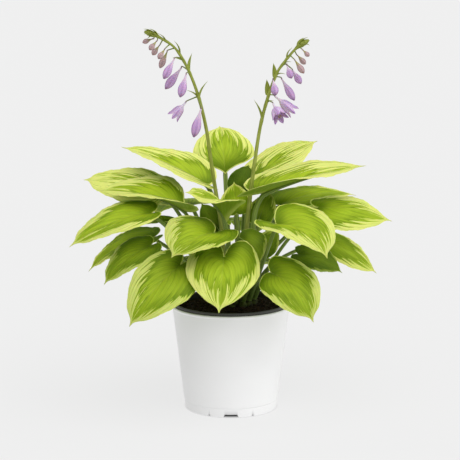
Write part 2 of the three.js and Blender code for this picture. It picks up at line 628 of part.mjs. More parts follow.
function innerPot() {
  const lipOut = POT_TOP_RADIUS - POT_WALL - LINER_GAP;
  return solidOf(turned([
    [0, linerFloor],
    [linerRadiusAt(linerFloor), linerFloor],
    [lipOut, POT_HEIGHT],
    [lipOut, lipTop - LINER_LIP_BEVEL],
    [lipOut - LINER_LIP_BEVEL, lipTop],
    [lipOut - LINER_LIP_WIDTH + LINER_LIP_BEVEL, lipTop],
    [lipOut - LINER_LIP_WIDTH, lipTop - LINER_LIP_BEVEL],
    [lipOut - LINER_LIP_WIDTH, lipTop - LINER_LIP_WIDTH],
    [linerRadiusAt(SOIL_EDGE_HEIGHT) - LINER_WALL, SOIL_EDGE_HEIGHT - 1],
    [linerRadiusAt(linerFloor) - LINER_WALL, linerFloor + LINER_WALL],
    [0, linerFloor + LINER_WALL],
  ]));
}

function soil() {
  const inside = (height) => linerRadiusAt(height) - LINER_WALL - TOUCHING_GAP;
  const floor = linerFloor + LINER_WALL + TOUCHING_GAP;
  const mound = solidOf(turned([
    [0, floor],
    [inside(floor), floor],
    [inside(SOIL_EDGE_HEIGHT - SOIL_SLUMP), SOIL_EDGE_HEIGHT - SOIL_SLUMP],
    [inside(SOIL_EDGE_HEIGHT) - SOIL_BORDER, SOIL_EDGE_HEIGHT + 1],
    [CROWN_RADIUS + 2 * SOIL_BORDER, SOIL_MIDDLE_HEIGHT - SOIL_SLUMP],
    [CROWN_RADIUS - CROWN_OFFSET, SOIL_MIDDLE_HEIGHT],
    [0, SOIL_MIDDLE_HEIGHT],
  ]));
  const pitRadius = CROWN_RADIUS + TOUCHING_GAP;
  const pitFloor = CROWN_FOOT_HEIGHT - TOUCHING_GAP;
  const pit = new THREE.CylinderGeometry(pitRadius, pitRadius, POT_HEIGHT, PIT_SIDES)
    .rotateX(Math.PI / 2)
    .translate(CROWN_OFFSET, 0, pitFloor + POT_HEIGHT / 2);
  return mound.subtract(solidOf(pit));
}

// The crown is a low clump with one plain hole for each stalk that stands in it
function crown() {
  let clump = solidOf(turned([
    [0, CROWN_FOOT_HEIGHT],
    [CROWN_RADIUS - CROWN_BEVEL, CROWN_FOOT_HEIGHT],
    [CROWN_RADIUS - SOIL_SLUMP, CROWN_FOOT_HEIGHT + CROWN_BEVEL],
    [CROWN_RADIUS - SOIL_SLUMP, CROWN_EDGE_HEIGHT],
    [CROWN_RADIUS - 4 * SOIL_SLUMP, CROWN_TOP_HEIGHT - SOIL_SLUMP],
    [0, CROWN_TOP_HEIGHT],
  ], CROWN_SIDES).translate(CROWN_OFFSET, 0, 0));
  const bore = (growth, radius) => {
    const root = rootOf(growth);
    const length = 2 * ROOTING_DEPTH;
    return solidOf(new THREE.CylinderGeometry(radius, radius, length, BORE_SIDES)
      .rotateX(Math.PI / 2)
      .translate(root.x, root.y, root.z - TOUCHING_GAP + length / 2));
  };
  LEAVES.forEach((leaf) => {
    clump = clump.subtract(bore(leaf, STALK_FOOT_RADIUS * BORE_ALLOWANCE + TOUCHING_GAP));
  });
  SCAPES.forEach((scape) => {
    clump = clump.subtract(bore(scape, scape.thick[0] * BORE_ALLOWANCE + TOUCHING_GAP));
  });
  return clump;
}

// The whole plant in its pots

const finish = (color, roughness) => new THREE.MeshStandardMaterial({ color, roughness, metalness: 0 });
const WHITE_PLASTIC = finish(0xe9e9e8, 0.45);
const BLACK_PLASTIC = finish(0x2a2a28, 0.5);
const POTTING_SOIL = finish(0x1a120c, 0.95);
const CROWN_FIBRE = finish(0x4a4a24, 0.85);
const LEAF_GREEN = finish(0x8fae2c, 0.5);
const STEM_GREEN = finish(0x7d8c3c, 0.55);
const PETAL_LAVENDER = finish(0xb896d2, 0.5);

const hosta = new THREE.Group();

function place(name, solid, material) {
  const mesh = new THREE.Mesh(geometryOf(solid), material.clone());
  mesh.name = name;
  hosta.add(mesh);
}

place('outer_pot', outerPot(), WHITE_PLASTIC);
place('inner_pot', innerPot(), BLACK_PLASTIC);
place('soil', soil(), POTTING_SOIL);
place('crown', crown(), CROWN_FIBRE);
LEAVES.forEach((leaf) => {
  place(leaf.name, joined([blade(leaf), petiole(leaf)]), LEAF_GREEN);
});
SCAPES.forEach((scape, index) => place(scape.name, flowerStem(scape, index), STEM_GREEN));
BLOOMS.forEach((bloom) => (
  place(bloom.name, solidOf(bloom.open ? bell(bloom) : bud(bloom)), PETAL_LAVENDER)
));

export default hosta;
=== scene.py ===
"""The looks of a potted hosta with cream-edged leaves and two flower stems. Shapes are in mm, +Z up."""

import math

import bpy
import numpy as np
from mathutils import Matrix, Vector


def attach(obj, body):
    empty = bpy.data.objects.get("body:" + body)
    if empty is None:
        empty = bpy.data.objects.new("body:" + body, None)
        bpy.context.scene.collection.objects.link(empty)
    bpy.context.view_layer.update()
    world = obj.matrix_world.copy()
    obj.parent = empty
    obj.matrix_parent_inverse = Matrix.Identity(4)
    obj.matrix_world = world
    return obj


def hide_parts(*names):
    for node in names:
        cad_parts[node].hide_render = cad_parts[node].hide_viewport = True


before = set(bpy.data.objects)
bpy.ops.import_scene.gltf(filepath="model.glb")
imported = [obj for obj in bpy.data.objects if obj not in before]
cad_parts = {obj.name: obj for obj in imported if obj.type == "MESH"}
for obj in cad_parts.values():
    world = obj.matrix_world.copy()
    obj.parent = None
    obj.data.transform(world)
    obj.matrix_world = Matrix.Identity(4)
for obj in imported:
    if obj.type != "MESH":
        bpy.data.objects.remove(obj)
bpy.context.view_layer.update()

MM = 0.001
GOLDEN_TURN = 2.399963

# What each point of a mesh carries. Run is its share of the way from foot to tip, across its place
# from -1 to 1 from side to side or round a stem, and inset its distance in mm from a blade's edge.
# Seed varies the patterns from piece to piece, pale is the width in mm of a blade's pale border,
# and the last is how much of a leaf's green painted shade leaves: 1 for a leaf in full light, less
# for one in the shade of others.
LAYERS = ("run", "across", "inset", "seed", "pale", "tone")


def added(name, data):
    """A new object in the scene."""
    made = bpy.data.objects.new(name, data)
    bpy.context.scene.collection.objects.link(made)
    return made


# Materials


def shade(red, green, blue):
    """A colour as it is seen, from 0 to 255, in the linear numbers that shaders take."""
    linear = []
    for value in (red / 255, green / 255, blue / 255):
        linear.append(value / 12.92 if value <= 0.04045 else ((value + 0.055) / 1.055) ** 2.4)
    return (*linear, 1.0)


def operation(kind, reflected=False):
    """A method that adds a Math node of one kind."""

    def method(self, *others):
        values = (*others, self) if reflected else (self, *others)
        return self.finish.node("ShaderNodeMath", {"operation": kind}, dict(enumerate(values)))

    return method


class Wire:
    """The output of a node. An expression on wires adds its Math nodes."""

    def __init__(self, finish, socket):
        self.finish = finish
        self.socket = socket

    __add__ = __radd__ = operation("ADD")
    __sub__ = operation("SUBTRACT")
    __rsub__ = operation("SUBTRACT", reflected=True)
    __mul__ = __rmul__ = operation("MULTIPLY")
    __truediv__ = operation("DIVIDE")
    __pow__ = operation("POWER")
    __abs__ = operation("ABSOLUTE")
    above = operation("GREATER_THAN")
    whole_left_over = operation("FRACT")

    def clipped(self, low, high):
        """0 below low, 1 above high and smooth between."""
        ends = {"Value": self, "From Min": low, "From Max": high}
        return self.finish.node("ShaderNodeMapRange", {"interpolation_type": "SMOOTHSTEP"}, ends)


class Finish:
    """A material. Plain values go on the shader's own sockets, and patterns are linked to them."""

    def __init__(self, name, **plain):
        self.material = bpy.data.materials.new(name)
        self.material.use_nodes = True
        self.tree = self.material.node_tree
        self.shader = self.tree.nodes["Principled BSDF"]
        for socket, value in plain.items():
            self.shader.inputs[socket.replace("_", " ")].default_value = value

    def node(self, kind, settings, values, output=0):
        made = self.tree.nodes.new(kind)
        for name, value in settings.items():
            if name == "stops":
                self.set_stops(made.color_ramp, value)
            else:
                setattr(made, name, value)
        for key, value in values.items():
            self.feed(made.inputs[key], value)
        return Wire(self, made.outputs[output])

    def set_stops(self, ramp, stops):
        for place, colour in stops[1:-1]:
            ramp.elements.new(place).color = colour
        for end in (0, -1):
            ramp.elements[end].position, ramp.elements[end].color = stops[end]

    def feed(self, socket, value):
        if isinstance(value, Wire):
            self.tree.links.new(value.socket, socket)
        else:
            socket.default_value = value

    def layer(self, name):
        return self.node("ShaderNodeAttribute", {"attribute_name": name}, {}, "Fac")

    def layers(self, *names):
        return [self.layer(name) for name in names]

    def place(self):
        """Where a point is on the object, in metres."""
        return self.node("ShaderNodeTexCoord", {}, {}, "Object")

    def noise(self, where, scale, detail=2.0):
        values = {"Vector": where, "Scale": scale, "Detail": detail}
        return self.node("ShaderNodeTexNoise", {}, values, "Fac")

    def streaks(self, x, y, z, detail=2.0):
        """Noise in a space of its own, such as one that runs with the veins."""
        return self.noise(self.node("ShaderNodeCombineXYZ", {}, {0: x, 1: y, 2: z}), 1.0, detail)

    def mix(self, kind, share, first, second):
        settings = {"data_type": "RGBA", "blend_type": kind}
        return self.node("ShaderNodeMix", settings, {0: share, 6: first, 7: second}, 2)

    def start(self, share, first, second):
        """Starts the colour as a blend of two."""
        self.colour = self.mix("MIX", share, shade(*first), shade(*second))

    def start_ramp(self, share, stops):
        """Starts the colour as one that changes at several places of share."""
        stops = [(place, shade(*colour)) for place, colour in stops]
        self.colour = self.node("ShaderNodeValToRGB", {"stops": stops}, {0: share}, "Color")

    def cover(self, share, *colour):
        """Blends a colour over the one so far."""
        self.colour = self.mix("MIX", share, self.colour, shade(*colour))

    def tint(self, share, *colour):
        """Multiplies the colour so far by another."""
        self.colour = self.mix("MULTIPLY", share, self.colour, shade(*colour))

    def wear(self, roughness, height, depth, strength):
        """Links the patterns to the shader: colour, roughness and a height in shares of depth."""
        values = {"Strength": strength, "Distance": depth, "Height": height}
        bump = self.node("ShaderNodeBump", {}, values, "Normal")
        patterns = {"Base Color": self.colour, "Roughness": roughness, "Normal": bump}
        for socket, value in patterns.items():
            self.feed(self.shader.inputs[socket], value)
        return self.material


# The veins leave the midrib and end on the edge. Across minus slope times the root of run is the same
# all along a vein, and spacing is its step from one vein to the next. First vein keeps the count of
# veins above 0. The other half of a blade is far enough away for streaks of its own.
VEIN_SLOPE = 0.75
VEIN_SPACING = 0.14
FIRST_VEIN = 20.0
OTHER_HALF = 40.0
SOFT_LEAF = {
    "Specular_IOR_Level": 0.12,
    "Subsurface_Weight": 0.18,
    "Subsurface_Radius": (0.5, 1.0, 0.15),
    "Subsurface_Scale": 0.0015,
}


def vein_crease(finish, run, across):
    """1 on the veins and 0 half way between two of them."""
    line = (abs(across) - run ** 0.5 * VEIN_SLOPE) / VEIN_SPACING + FIRST_VEIN
    return abs(line.whole_left_over() - 0.5) * 2.0


# From the pale border inwards.
LEAF_STOPS = [
    (0.0, (238, 243, 140)),
    (0.24, (230, 236, 114)),
    (0.38, (196, 214, 64)),
    (0.55, (168, 194, 34)),
    (1.0, (184, 206, 48)),
]


def leaf_upper():
    finish = Finish("leaf_upper_side", **SOFT_LEAF)
    run, across, inset, seed, pale, tone = finish.layers(*LAYERS)
    line = abs(across) - run ** 0.5 * VEIN_SLOPE + across.above(0) * OTHER_HALF
    streaks = finish.streaks(line * 9, run * 2.2, seed)
    feathers = finish.streaks(line * 30, run * 3, seed + 7, 1)
    broad = finish.streaks(across * 1.6, run * 2.2, seed + 3, 1)
    # The pale border is narrow round the lobes, widens past the middle and is ragged along the veins.
    spread = (run + pale * 0.016).clipped(0.4, 0.68) * (1 - 0.85 * run.clipped(0.66, 0.97))
    width = pale * (0.12 + 0.98 * spread) * (0.6 + 0.9 * broad)
    ragged = ((streaks - 0.5) * 4.2 + (feathers - 0.5) * 3.2) * pale * (0.05 + 0.95 * spread)
    inside = inset - width + ragged
    # The added 0.24 keeps a thin pale rim along every edge, also where pale is 0: partly the leaf's own
    # edge colour, partly a painted highlight along the edge.
    share = inside / (1.5 + 6 * spread) + 0.24
    finish.start_ramp(share, LEAF_STOPS)
    green = share.clipped(0.3, 0.6)
    # The green is darker of itself beside the border. Painted shade darkens it in the vein creases,
    # near the stalk, where the green is also darker of itself, and over the whole blade of a leaf that
    # lies in the shade of others.
    crease = vein_crease(finish, run, across)
    # Painted shade in the vein creases, darkest on the veins.
    finish.tint(crease ** 5 * feathers * 0.8, 176, 192, 102)
    fringe = (1 - inside.clipped(2, 20)) * (1 - 0.6 * run.clipped(0.45, 0.9))
    finish.tint(fringe * green * 0.75, 158, 178, 84)
    # Partly the leaf's own darker green near the stalk, partly painted shade there.
    inner = (1 - run.clipped(0.03, 0.5)) * green
    finish.tint(inner * 0.4, 156, 176, 88)
    midrib_line = 1 - (abs(across) * (0.35 + run)).clipped(0.006, 0.03)
    finish.cover(midrib_line * 0.2, 190, 210, 90)
    threads = finish.streaks(line * 75, run * 5, seed + 11)
    finish.tint(threads.clipped(0.35, 0.65) * 0.34, 192, 206, 128)
    mottle = finish.noise(finish.place(), 55, 3)
    finish.tint(mottle.clipped(0.35, 0.75) * 0.16, 195, 210, 150)
    # Painted shade over the whole blade, as deep as the leaf lies in the shade of others.
    finish.tint(1 - tone, 104, 130, 16)
    height = (1 - crease ** 3) + 0.5 * threads
    return finish.wear(0.4 + 0.2 * mottle, height, 0.0008, 0.5)


def leaf_under():
    finish = Finish("leaf_under_side", **SOFT_LEAF)
    run, across, inset = finish.layers("run", "across", "inset")
    crease = vein_crease(finish, run, across)
    edge = 1 - inset.clipped(1, 9)
    finish.start(edge * 0.7, (130, 156, 34), (204, 214, 104))
    finish.cover(crease ** 5 * 0.35, 166, 186, 72)
    cloud = finish.noise(finish.place(), 60, 3)
    finish.tint(cloud * 0.35, 190, 205, 160)
    return finish.wear(0.5 + 0.15 * cloud, crease ** 3, 0.0005, 0.6)


def stalk_green():
    finish = Finish("stalk_green", Specular_IOR_Level=0.35)
    run, across, seed = finish.layers("run", "across", "seed")
    threads = finish.streaks(across * 14, run * 3, seed)
    finish.start(threads.clipped(0.3, 0.7), (84, 106, 30), (130, 152, 58))
    groove_edge = 1 - abs(abs(across) - 0.24).clipped(0.02, 0.12)
    finish.cover(groove_edge * 0.5, 160, 182, 92)
    # Painted shade: the stalk darkens towards its foot, low in the clump.
    foot = 1 - run.clipped(0.02, 0.3)
    finish.cover(foot * 0.7, 66, 86, 26)
    return finish.wear(0.42 + 0.2 * threads, threads, 0.0004, 0.5)


def stem_olive():
    finish = Finish("stem_olive", Specular_IOR_Level=0.3)
    run, across = finish.layers("run", "across")
    threads = finish.streaks(across * 6, run * 40, 0, 3)
    finish.start(threads.clipped(0.3, 0.75), (124, 136, 44), (162, 170, 80))
    finish.cover(run.clipped(0.55, 1) * 0.4, 120, 132, 40)
    return finish.wear(0.45 + 0.2 * threads, threads, 0.0004, 0.5)


def bract_green():
    finish = Finish("bract_green", Specular_IOR_Level=0.3)
    run, across, seed = finish.layers("run", "across", "seed")
    threads = finish.streaks(across * 9, run * 2, seed)
    finish.start(threads.clipped(0.3, 0.7), (114, 128, 34), (158, 168, 68))
    finish.cover(abs(across).clipped(0.6, 1) * 0.4, 160, 166, 92)
    return finish.wear(0.5, threads, 0.0003, 0.5)


def flower_stalk():
    finish = Finish("flower_stalk", Specular_IOR_Level=0.3)
    cloud = finish.noise(finish.place(), 300)
    tipwards = finish.layer("run").clipped(0.2, 0.9)
    finish.start(tipwards, (132, 150, 66), (152, 116, 138))
    finish.tint(cloud * 0.4, 180, 170, 160)
    return finish.wear(0.5, cloud, 0.0002, 0.4)


def petal_lavender(name, tube, body, tip):
    finish = Finish(name, Specular_IOR_Level=0.25, Subsurface_Weight=0.12, Subsurface_Scale=0.001)
    run, across, seed = finish.layers("run", "across", "seed")
    petal = abs((across * 3 + 12).whole_left_over() - 0.5) * 2
    veins = finish.streaks(across * 26, run * 2, seed)
    finish.start(run.clipped(0.12, 0.5), tube, body)
    finish.cover(run.clipped(0.8, 1) * 0.8, *tip)
    finish.tint(petal ** 3 * run.clipped(0.2, 0.6) * 0.7, 178, 140, 196)
    finish.tint(veins.clipped(0.4, 0.7) * 0.45, 196, 166, 206)
    return finish.wear(0.45 + 0.15 * veins, petal ** 2 + 0.4 * veins, 0.0004, 0.5)


def anther():
    finish = Finish("anther", Specular_IOR_Level=0.2)
    grains = finish.noise(finish.place(), 2500)
    finish.start(grains.clipped(0.3, 0.7), (104, 84, 46), (196, 172, 96))
    return finish.wear(0.8, grains, 0.0002, 0.6)


def potting_soil():
    finish = Finish("potting_soil", Specular_IOR_Level=0.2)
    lumps = finish.noise(finish.place(), 240, 5)
    flecks = finish.noise(finish.place(), 900)
    browns = [(0.25, (14, 10, 7)), (0.5, (30, 21, 14)), (0.8, (62, 42, 28))]
    finish.start_ramp(lumps * 0.6 + finish.layer("seed") * 0.5, browns)
    finish.tint(flecks.clipped(0.5, 0.7) * 0.6, 90, 80, 74)
    return finish.wear(0.75 + 0.2 * flecks, lumps + 0.3 * flecks, 0.0015, 0.8)


def crown_fibre():
    finish = Finish("crown_fibre", Specular_IOR_Level=0.2)
    lumps = finish.noise(finish.place(), 160, 4)
    finish.start(lumps.clipped(0.35, 0.7), (30, 30, 14), (74, 84, 34))
    return finish.wear(0.8, lumps, 0.002, 0.8)


def white_plastic():
    finish = Finish("white_plastic", Specular_IOR_Level=0.42)
    cloud = finish.noise(finish.place(), 9, 3)
    skin = finish.noise(finish.place(), 900)
    finish.start(cloud.clipped(0.3, 0.7), (242, 242, 242), (246, 246, 246))
    return finish.wear(0.3 + 0.08 * cloud, skin, 0.00006, 0.35)


def black_plastic():
    finish = Finish("black_plastic", Specular_IOR_Level=0.45)
    dust = finish.noise(finish.place(), 70, 4)
    skin = finish.noise(finish.place(), 1200)
    finish.start(dust.clipped(0.45, 0.8), (64, 64, 61), (80, 78, 72))
    return finish.wear(0.38 + 0.2 * dust, skin, 0.0001, 0.4)


# The floor glows like a plain backdrop. It doesn't glow under the pot, which paints a contact shadow
# there, and the glow comes in between the two distances from the middle, in metres.
FLOOR_SHADE = (0.13, 0.13, 0.13, 1.0)
FLOOR_GLOW = 0.73
PAINTED_SHADOW_REACH = 0.052, 0.068
BLACK = (0.0, 0.0, 0.0, 1.0)
WHITE = (1.0, 1.0, 1.0, 1.0)


def pale_floor():
    matt = {"Base_Color": FLOOR_SHADE, "Specular_IOR_Level": 0.0, "Roughness": 1.0}
    finish = Finish("pale_floor", Emission_Strength=FLOOR_GLOW, **matt)
    away = finish.node("ShaderNodeVectorMath", {"operation": "LENGTH"}, {0: finish.place()}, "Value")
    # No glow under the pot: a painted contact shadow.
    glow = finish.mix("MIX", away.clipped(*PAINTED_SHADOW_REACH), BLACK, WHITE)
    finish.feed(finish.shader.inputs["Emission Color"], glow)
    return finish.material


LEAF_UPPER = leaf_upper()
LEAF_UNDER = leaf_under()
STALK_GREEN = stalk_green()
STEM_OLIVE = stem_olive()
BRACT_GREEN = bract_green()
FLOWER_STALK = flower_stalk()
OPEN_PETAL = petal_lavender("open_petal", (238, 224, 238), (216, 190, 224), (196, 160, 210))
BUD_PETAL = petal_lavender("bud_petal", (222, 204, 220), (202, 168, 210), (138, 98, 138))
YOUNG_PETAL = petal_lavender("young_petal", (162, 160, 86), (192, 166, 162), (146, 112, 112))
ANTHER = anther()
POTTING_SOIL = potting_soil()
CROWN_FIBRE = crown_fibre()
WHITE_PLASTIC = white_plastic()
BLACK_PLASTIC = black_plastic()


# Meshes


class Shape:
    """Points in mm with their layers, and faces with their finishes, gathered from several forms."""

    def __init__(self):
        self.points = []
        self.layers = {name: [] for name in LAYERS}
        self.faces = []
        self.finishes = []
        self.sharp = []
        self.count = 0

    def add(self, points, faces, finish, sharp=(), **layers):
        """Finish is one index or one for each face, and a layer one number or one for each point."""
        points = np.asarray(points, float).reshape(-1, 3)
        self.points.append(points)
        for name in LAYERS:
            self.layers[name].append(np.broadcast_to(layers.get(name, 0.0), len(points)))
        self.faces.extend(tuple(corner + self.count for corner in face) for face in faces)
        self.finishes.extend([finish] * len(faces) if isinstance(finish, int) else finish)
        marks = np.zeros(len(points), bool)
        marks[list(sharp)] = True
        self.sharp.append(marks)
        self.count += len(points)

    def add_rings(self, rings, start, end, finish, **layers):
        """A closed form of equal rings of points, with one point in the middle of each end."""
        count, sides = len(rings), len(rings[0])
        faces = grid_faces(count, sides, closed=True)
        last = (count - 1) * sides
        for j in range(sides):
            after = (j + 1) % sides
            faces.append((count * sides, after, j))
            faces.append((count * sides + 1, last + j, last + after))
        self.add(np.concatenate([*rings, [start], [end]]), faces, finish, **layers)

    def piece(self, node, materials):
        """The finished piece, which stands for a CAD node."""
        name = node + "_fine"
        mesh = bpy.data.meshes.new(name)
        mesh.from_pydata((np.concatenate(self.points) * MM).tolist(), [], self.faces)
        for material in materials:
            mesh.materials.append(material)
        mesh.polygons.foreach_set("material_index", np.array(self.finishes, np.int32))
        for layer, values in self.layers.items():
            joined = np.concatenate(values).astype(np.float32)
            mesh.attributes.new(layer, "FLOAT", "POINT").data.foreach_set("value", joined)
        mesh.shade_smooth()
        marks = np.concatenate(self.sharp)
        if marks.any():
            ends = np.zeros(len(mesh.edges) * 2, np.int32)
            mesh.edges.foreach_get("vertices", ends)
            hard = marks[ends.reshape(-1, 2)].all(axis=1)
            mesh.attributes.new("sharp_edge", "BOOLEAN", "EDGE").data.foreach_set("value", hard)
        mesh.validate()
        made = added(name, mesh)
        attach(made, "root")
        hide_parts(node)
        return made


def grid_faces(rows, columns, closed=False):
    """The faces of a grid of points, row after row. A closed one goes all the way round."""
    faces = []
    for i in range(rows - 1):
        for j in range(columns if closed else columns - 1):
            a = i * columns + j
            b = i * columns + (j + 1) % columns
            faces.append((a, b, b + columns, a + columns))
    return faces


def unit(vectors):
    return vectors / np.linalg.norm(vectors, axis=-1, keepdims=True)


def axis_of(form):
    """A form's base, the way from there to its tip, and how far that is."""
    base = np.array(form["base"], float)
    along = np.array(form["tip"], float) - base
    length = np.linalg.norm(along)
    return base, along / length, length


def angles_round(sides):
    return np.arange(sides) / sides * 2 * math.pi


def direction(azimuth, elevation):
    flat = math.cos(math.radians(elevation))
    turn = math.radians(azimuth)
    return np.array([flat * math.cos(turn), flat * math.sin(turn), math.sin(math.radians(elevation))])


def through(points, steps):
    """A smooth curve through points, with steps between each two of them."""
    points = np.asarray(points, float)
    padded = np.vstack([2 * points[0] - points[1], points, 2 * points[-1] - points[-2]])
    curve = []
    for a, b, c, d in zip(padded, padded[1:], padded[2:], padded[3:]):
        for t in np.arange(steps) / steps:
            square = (2 * a - 5 * b + 4 * c - d) * t**2
            curve.append(0.5 * (2 * b + (c - a) * t + square + (3 * b - a - 3 * c + d) * t**3))
    return np.array([*curve, points[-1]])


def tube(shape, line, radii, sides, finish, up=(0, 0, 1), section=None, run=None, seed=0.0):
    """A closed stem along a line. Section gives a share of the radius for each turn away from up."""
    line = np.asarray(line, float)
    ahead = unit(np.gradient(line, axis=0))
    turns = np.linspace(-1, 1, sides, endpoint=False) + 1 / sides
    share = np.ones(sides) if section is None else section(turns)
    normal = np.asarray(up, float)
    rings = []
    for centre, along, radius in zip(line, ahead, radii):
        normal = unit(normal - along * (normal @ along))
        other = np.cross(along, normal)
        spokes = np.cos(turns * math.pi)[:, None] * normal + np.sin(turns * math.pi)[:, None] * other
        rings.append(centre + radius * share[:, None] * spokes)
    run = np.linspace(0, 1, len(line)) if run is None else run
    runs = np.concatenate([np.repeat(run, sides), run[:1], run[-1:]])
    across = np.concatenate([np.tile(turns, len(line)), [0, 0]])
    shape.add_rings(rings, line[0], line[-1], finish, run=runs, across=across, seed=seed)


# Leaves

WIDEST_AT = 0.3
LOBE_SHARE = 0.42
LOBE_DROOP = 0.3
LOBE_HANDLES = -1.5, -1.25
TIP_HANDLES = 0.58, 0.82
WAVE_SHIFT = 0.4
BLADE_ROWS = 50
BLADE_COLUMNS = 40
BLADE_THICKNESS = 0.5
THIN_EDGE = 0.55
LEAST_BEND = 1e-6
DRIP_TIP = 0.68
DRIP_REACH = 0.72, 0.93
PUFF_ROUNDNESS = 0.7
PUFF_FADE = 6
RIPPLE = 0.7
RIPPLES = 6.5
RIPPLE_FALL = 5
RIPPLE_SHIFT = 1.7
OTHER_HALF_SHIFT = 0.3
FINER_SHARE = 0.6
FINER_COUNT = 2.7
FINER_FALL = 3
FINER_SHIFT = 2.9
CALM_WIDTH = 6

# A usual leaf, in the same values as its solid. Two values are for the left and the right half. Puff
# is how far the blade rises between its veins, and ripple is the share of the fine waves.
USUAL_LEAF = {
    "arch": 10, "sweep": 0, "twist": 0, "lobe": 0.13, "sinus": 0.12, "fold": 12, "open": 0.6, "curl": -25,
    "depth": 1.5, "count": 2, "start": 0, "stalk": 2.8, "stand": 0.45, "arrive": 0.3, "elbow": 0.8,
    "lean": None, "full": 0.45, "puff": 1.0, "ripple": 1.0, "pale": 9, "tone": 1.0,
}


def for_half(value, hand):
    return value[hand] if isinstance(value, (list, tuple)) else value


def blade_frame(leaf):
    """A blade's foot, and the ways to its tip, up and right, and its length."""
    base, along, length = axis_of(leaf)
    up = direction(*leaf["face"])
    up = unit(up - along * (up @ along))
    return base, along, up, np.cross(along, up), length


def midrib(leaf, u):
    """Places on the midrib at shares u of its length, and there the ways ahead, up and right."""
    base, along, up, side, length = blade_frame(leaf)
    u = np.asarray(u, float)[..., None]
    bow = np.where(u < 0, 4 * u * LOBE_DROOP, 4 * u * (1 - u))
    slope = 4 * (1 - 2 * np.maximum(u, 0))
    place = base + along * length * u + up * leaf["arch"] * bow + side * leaf["sweep"] * bow
    ahead = unit(along * length + up * leaf["arch"] * slope + side * leaf["sweep"] * slope)
    twist = np.radians(leaf["twist"] * np.maximum(u, 0))
    flat_up = unit(up - ahead * (ahead @ up)[..., None])
    flat_side = np.cross(ahead, flat_up)
    turned_up = flat_up * np.cos(twist) + flat_side * np.sin(twist)
    return place, ahead, turned_up, np.cross(ahead, turned_up)


def cubic(a, b, c, d, t):
    return a * (1 - t) ** 3 + 3 * b * t * (1 - t) ** 2 + 3 * c * t**2 * (1 - t) + d * t**3


def blade_edge(leaf, s, hand):
    """How far along the blade and out from its midrib the edge is, at share s of its way to the tip."""
    lobe = for_half(leaf["lobe"], hand)
    t = np.clip(s / LOBE_SHARE, 0, 1)
    leaving, rounding = LOBE_HANDLES
    lobe_along = cubic(0, leaving * lobe, rounding * lobe, WIDEST_AT, t)
    lobe_out = cubic(0, leaf["sinus"], 1, 1, t)
    t = np.clip((s - LOBE_SHARE) / (1 - LOBE_SHARE), 0, 1)
    drip_start, drip_end = DRIP_REACH
    near_tip = np.clip((t - drip_start) / (drip_end - drip_start), 0, 1)
    drawn_in = 1 - DRIP_TIP * near_tip**2 * (3 - 2 * near_tip)
    tip_along = cubic(WIDEST_AT, *TIP_HANDLES, 1, t)
    tip_out = cubic(1, 1, for_half(leaf["full"], hand), 0, t) * drawn_in
    near_joint = s < LOBE_SHARE
    return np.where(near_joint, lobe_along, tip_along), np.where(near_joint, lobe_out, tip_out)


def half_blade(leaf, s, out, hand, seed):
    """Points of one half of the upper side. Out runs from 0 at the midrib to 1 at the edge."""
    edge_along, edge_out = blade_edge(leaf, s, hand)
    u = s * (1 - out) + edge_along * out
    half_width = for_half(leaf["width"], hand) / 2
    reach = half_width * edge_out * out
    fold = np.radians(for_half(leaf["fold"], hand)) * (1 - leaf["open"] * np.maximum(u, 0))
    bend = np.radians(leaf["curl"]) / half_width or LEAST_BEND
    angle = fold + bend * reach
    sideways = (np.sin(angle) - np.sin(fold)) / bend
    lift = (np.cos(fold) - np.cos(angle)) / bend
    cycle = leaf["count"] * s + leaf["start"] + hand * WAVE_SHIFT
    lift = lift + leaf["depth"] * out**2 * edge_out * np.sin(2 * math.pi * cycle)
    calm = np.clip(reach / CALM_WIDTH, 0, 1) * np.sin(math.pi * np.clip(s, 0, 1)) ** 0.5
    line = (out - VEIN_SLOPE * s**0.5) / VEIN_SPACING
    puff = np.abs(np.sin(math.pi * (line + 0.5))) ** PUFF_ROUNDNESS
    puff = puff * np.clip((1 - out) * PUFF_FADE, 0, 1)
    ripple_cycle = RIPPLES * s + seed * RIPPLE_SHIFT + hand * OTHER_HALF_SHIFT
    ripple = RIPPLE * out**RIPPLE_FALL * np.sin(2 * math.pi * ripple_cycle)
    finer = np.sin(2 * math.pi * (FINER_COUNT * RIPPLES * s + seed * FINER_SHIFT))
    ripple = ripple + FINER_SHARE * RIPPLE * out**FINER_FALL * finer
    lift = lift + calm * (leaf["puff"] * puff + leaf["ripple"] * ripple)
    place, _, up, side = midrib(leaf, u)
    sign = -1 if hand == 0 else 1
    return place + side * (sign * sideways)[..., None] + up * lift[..., None]


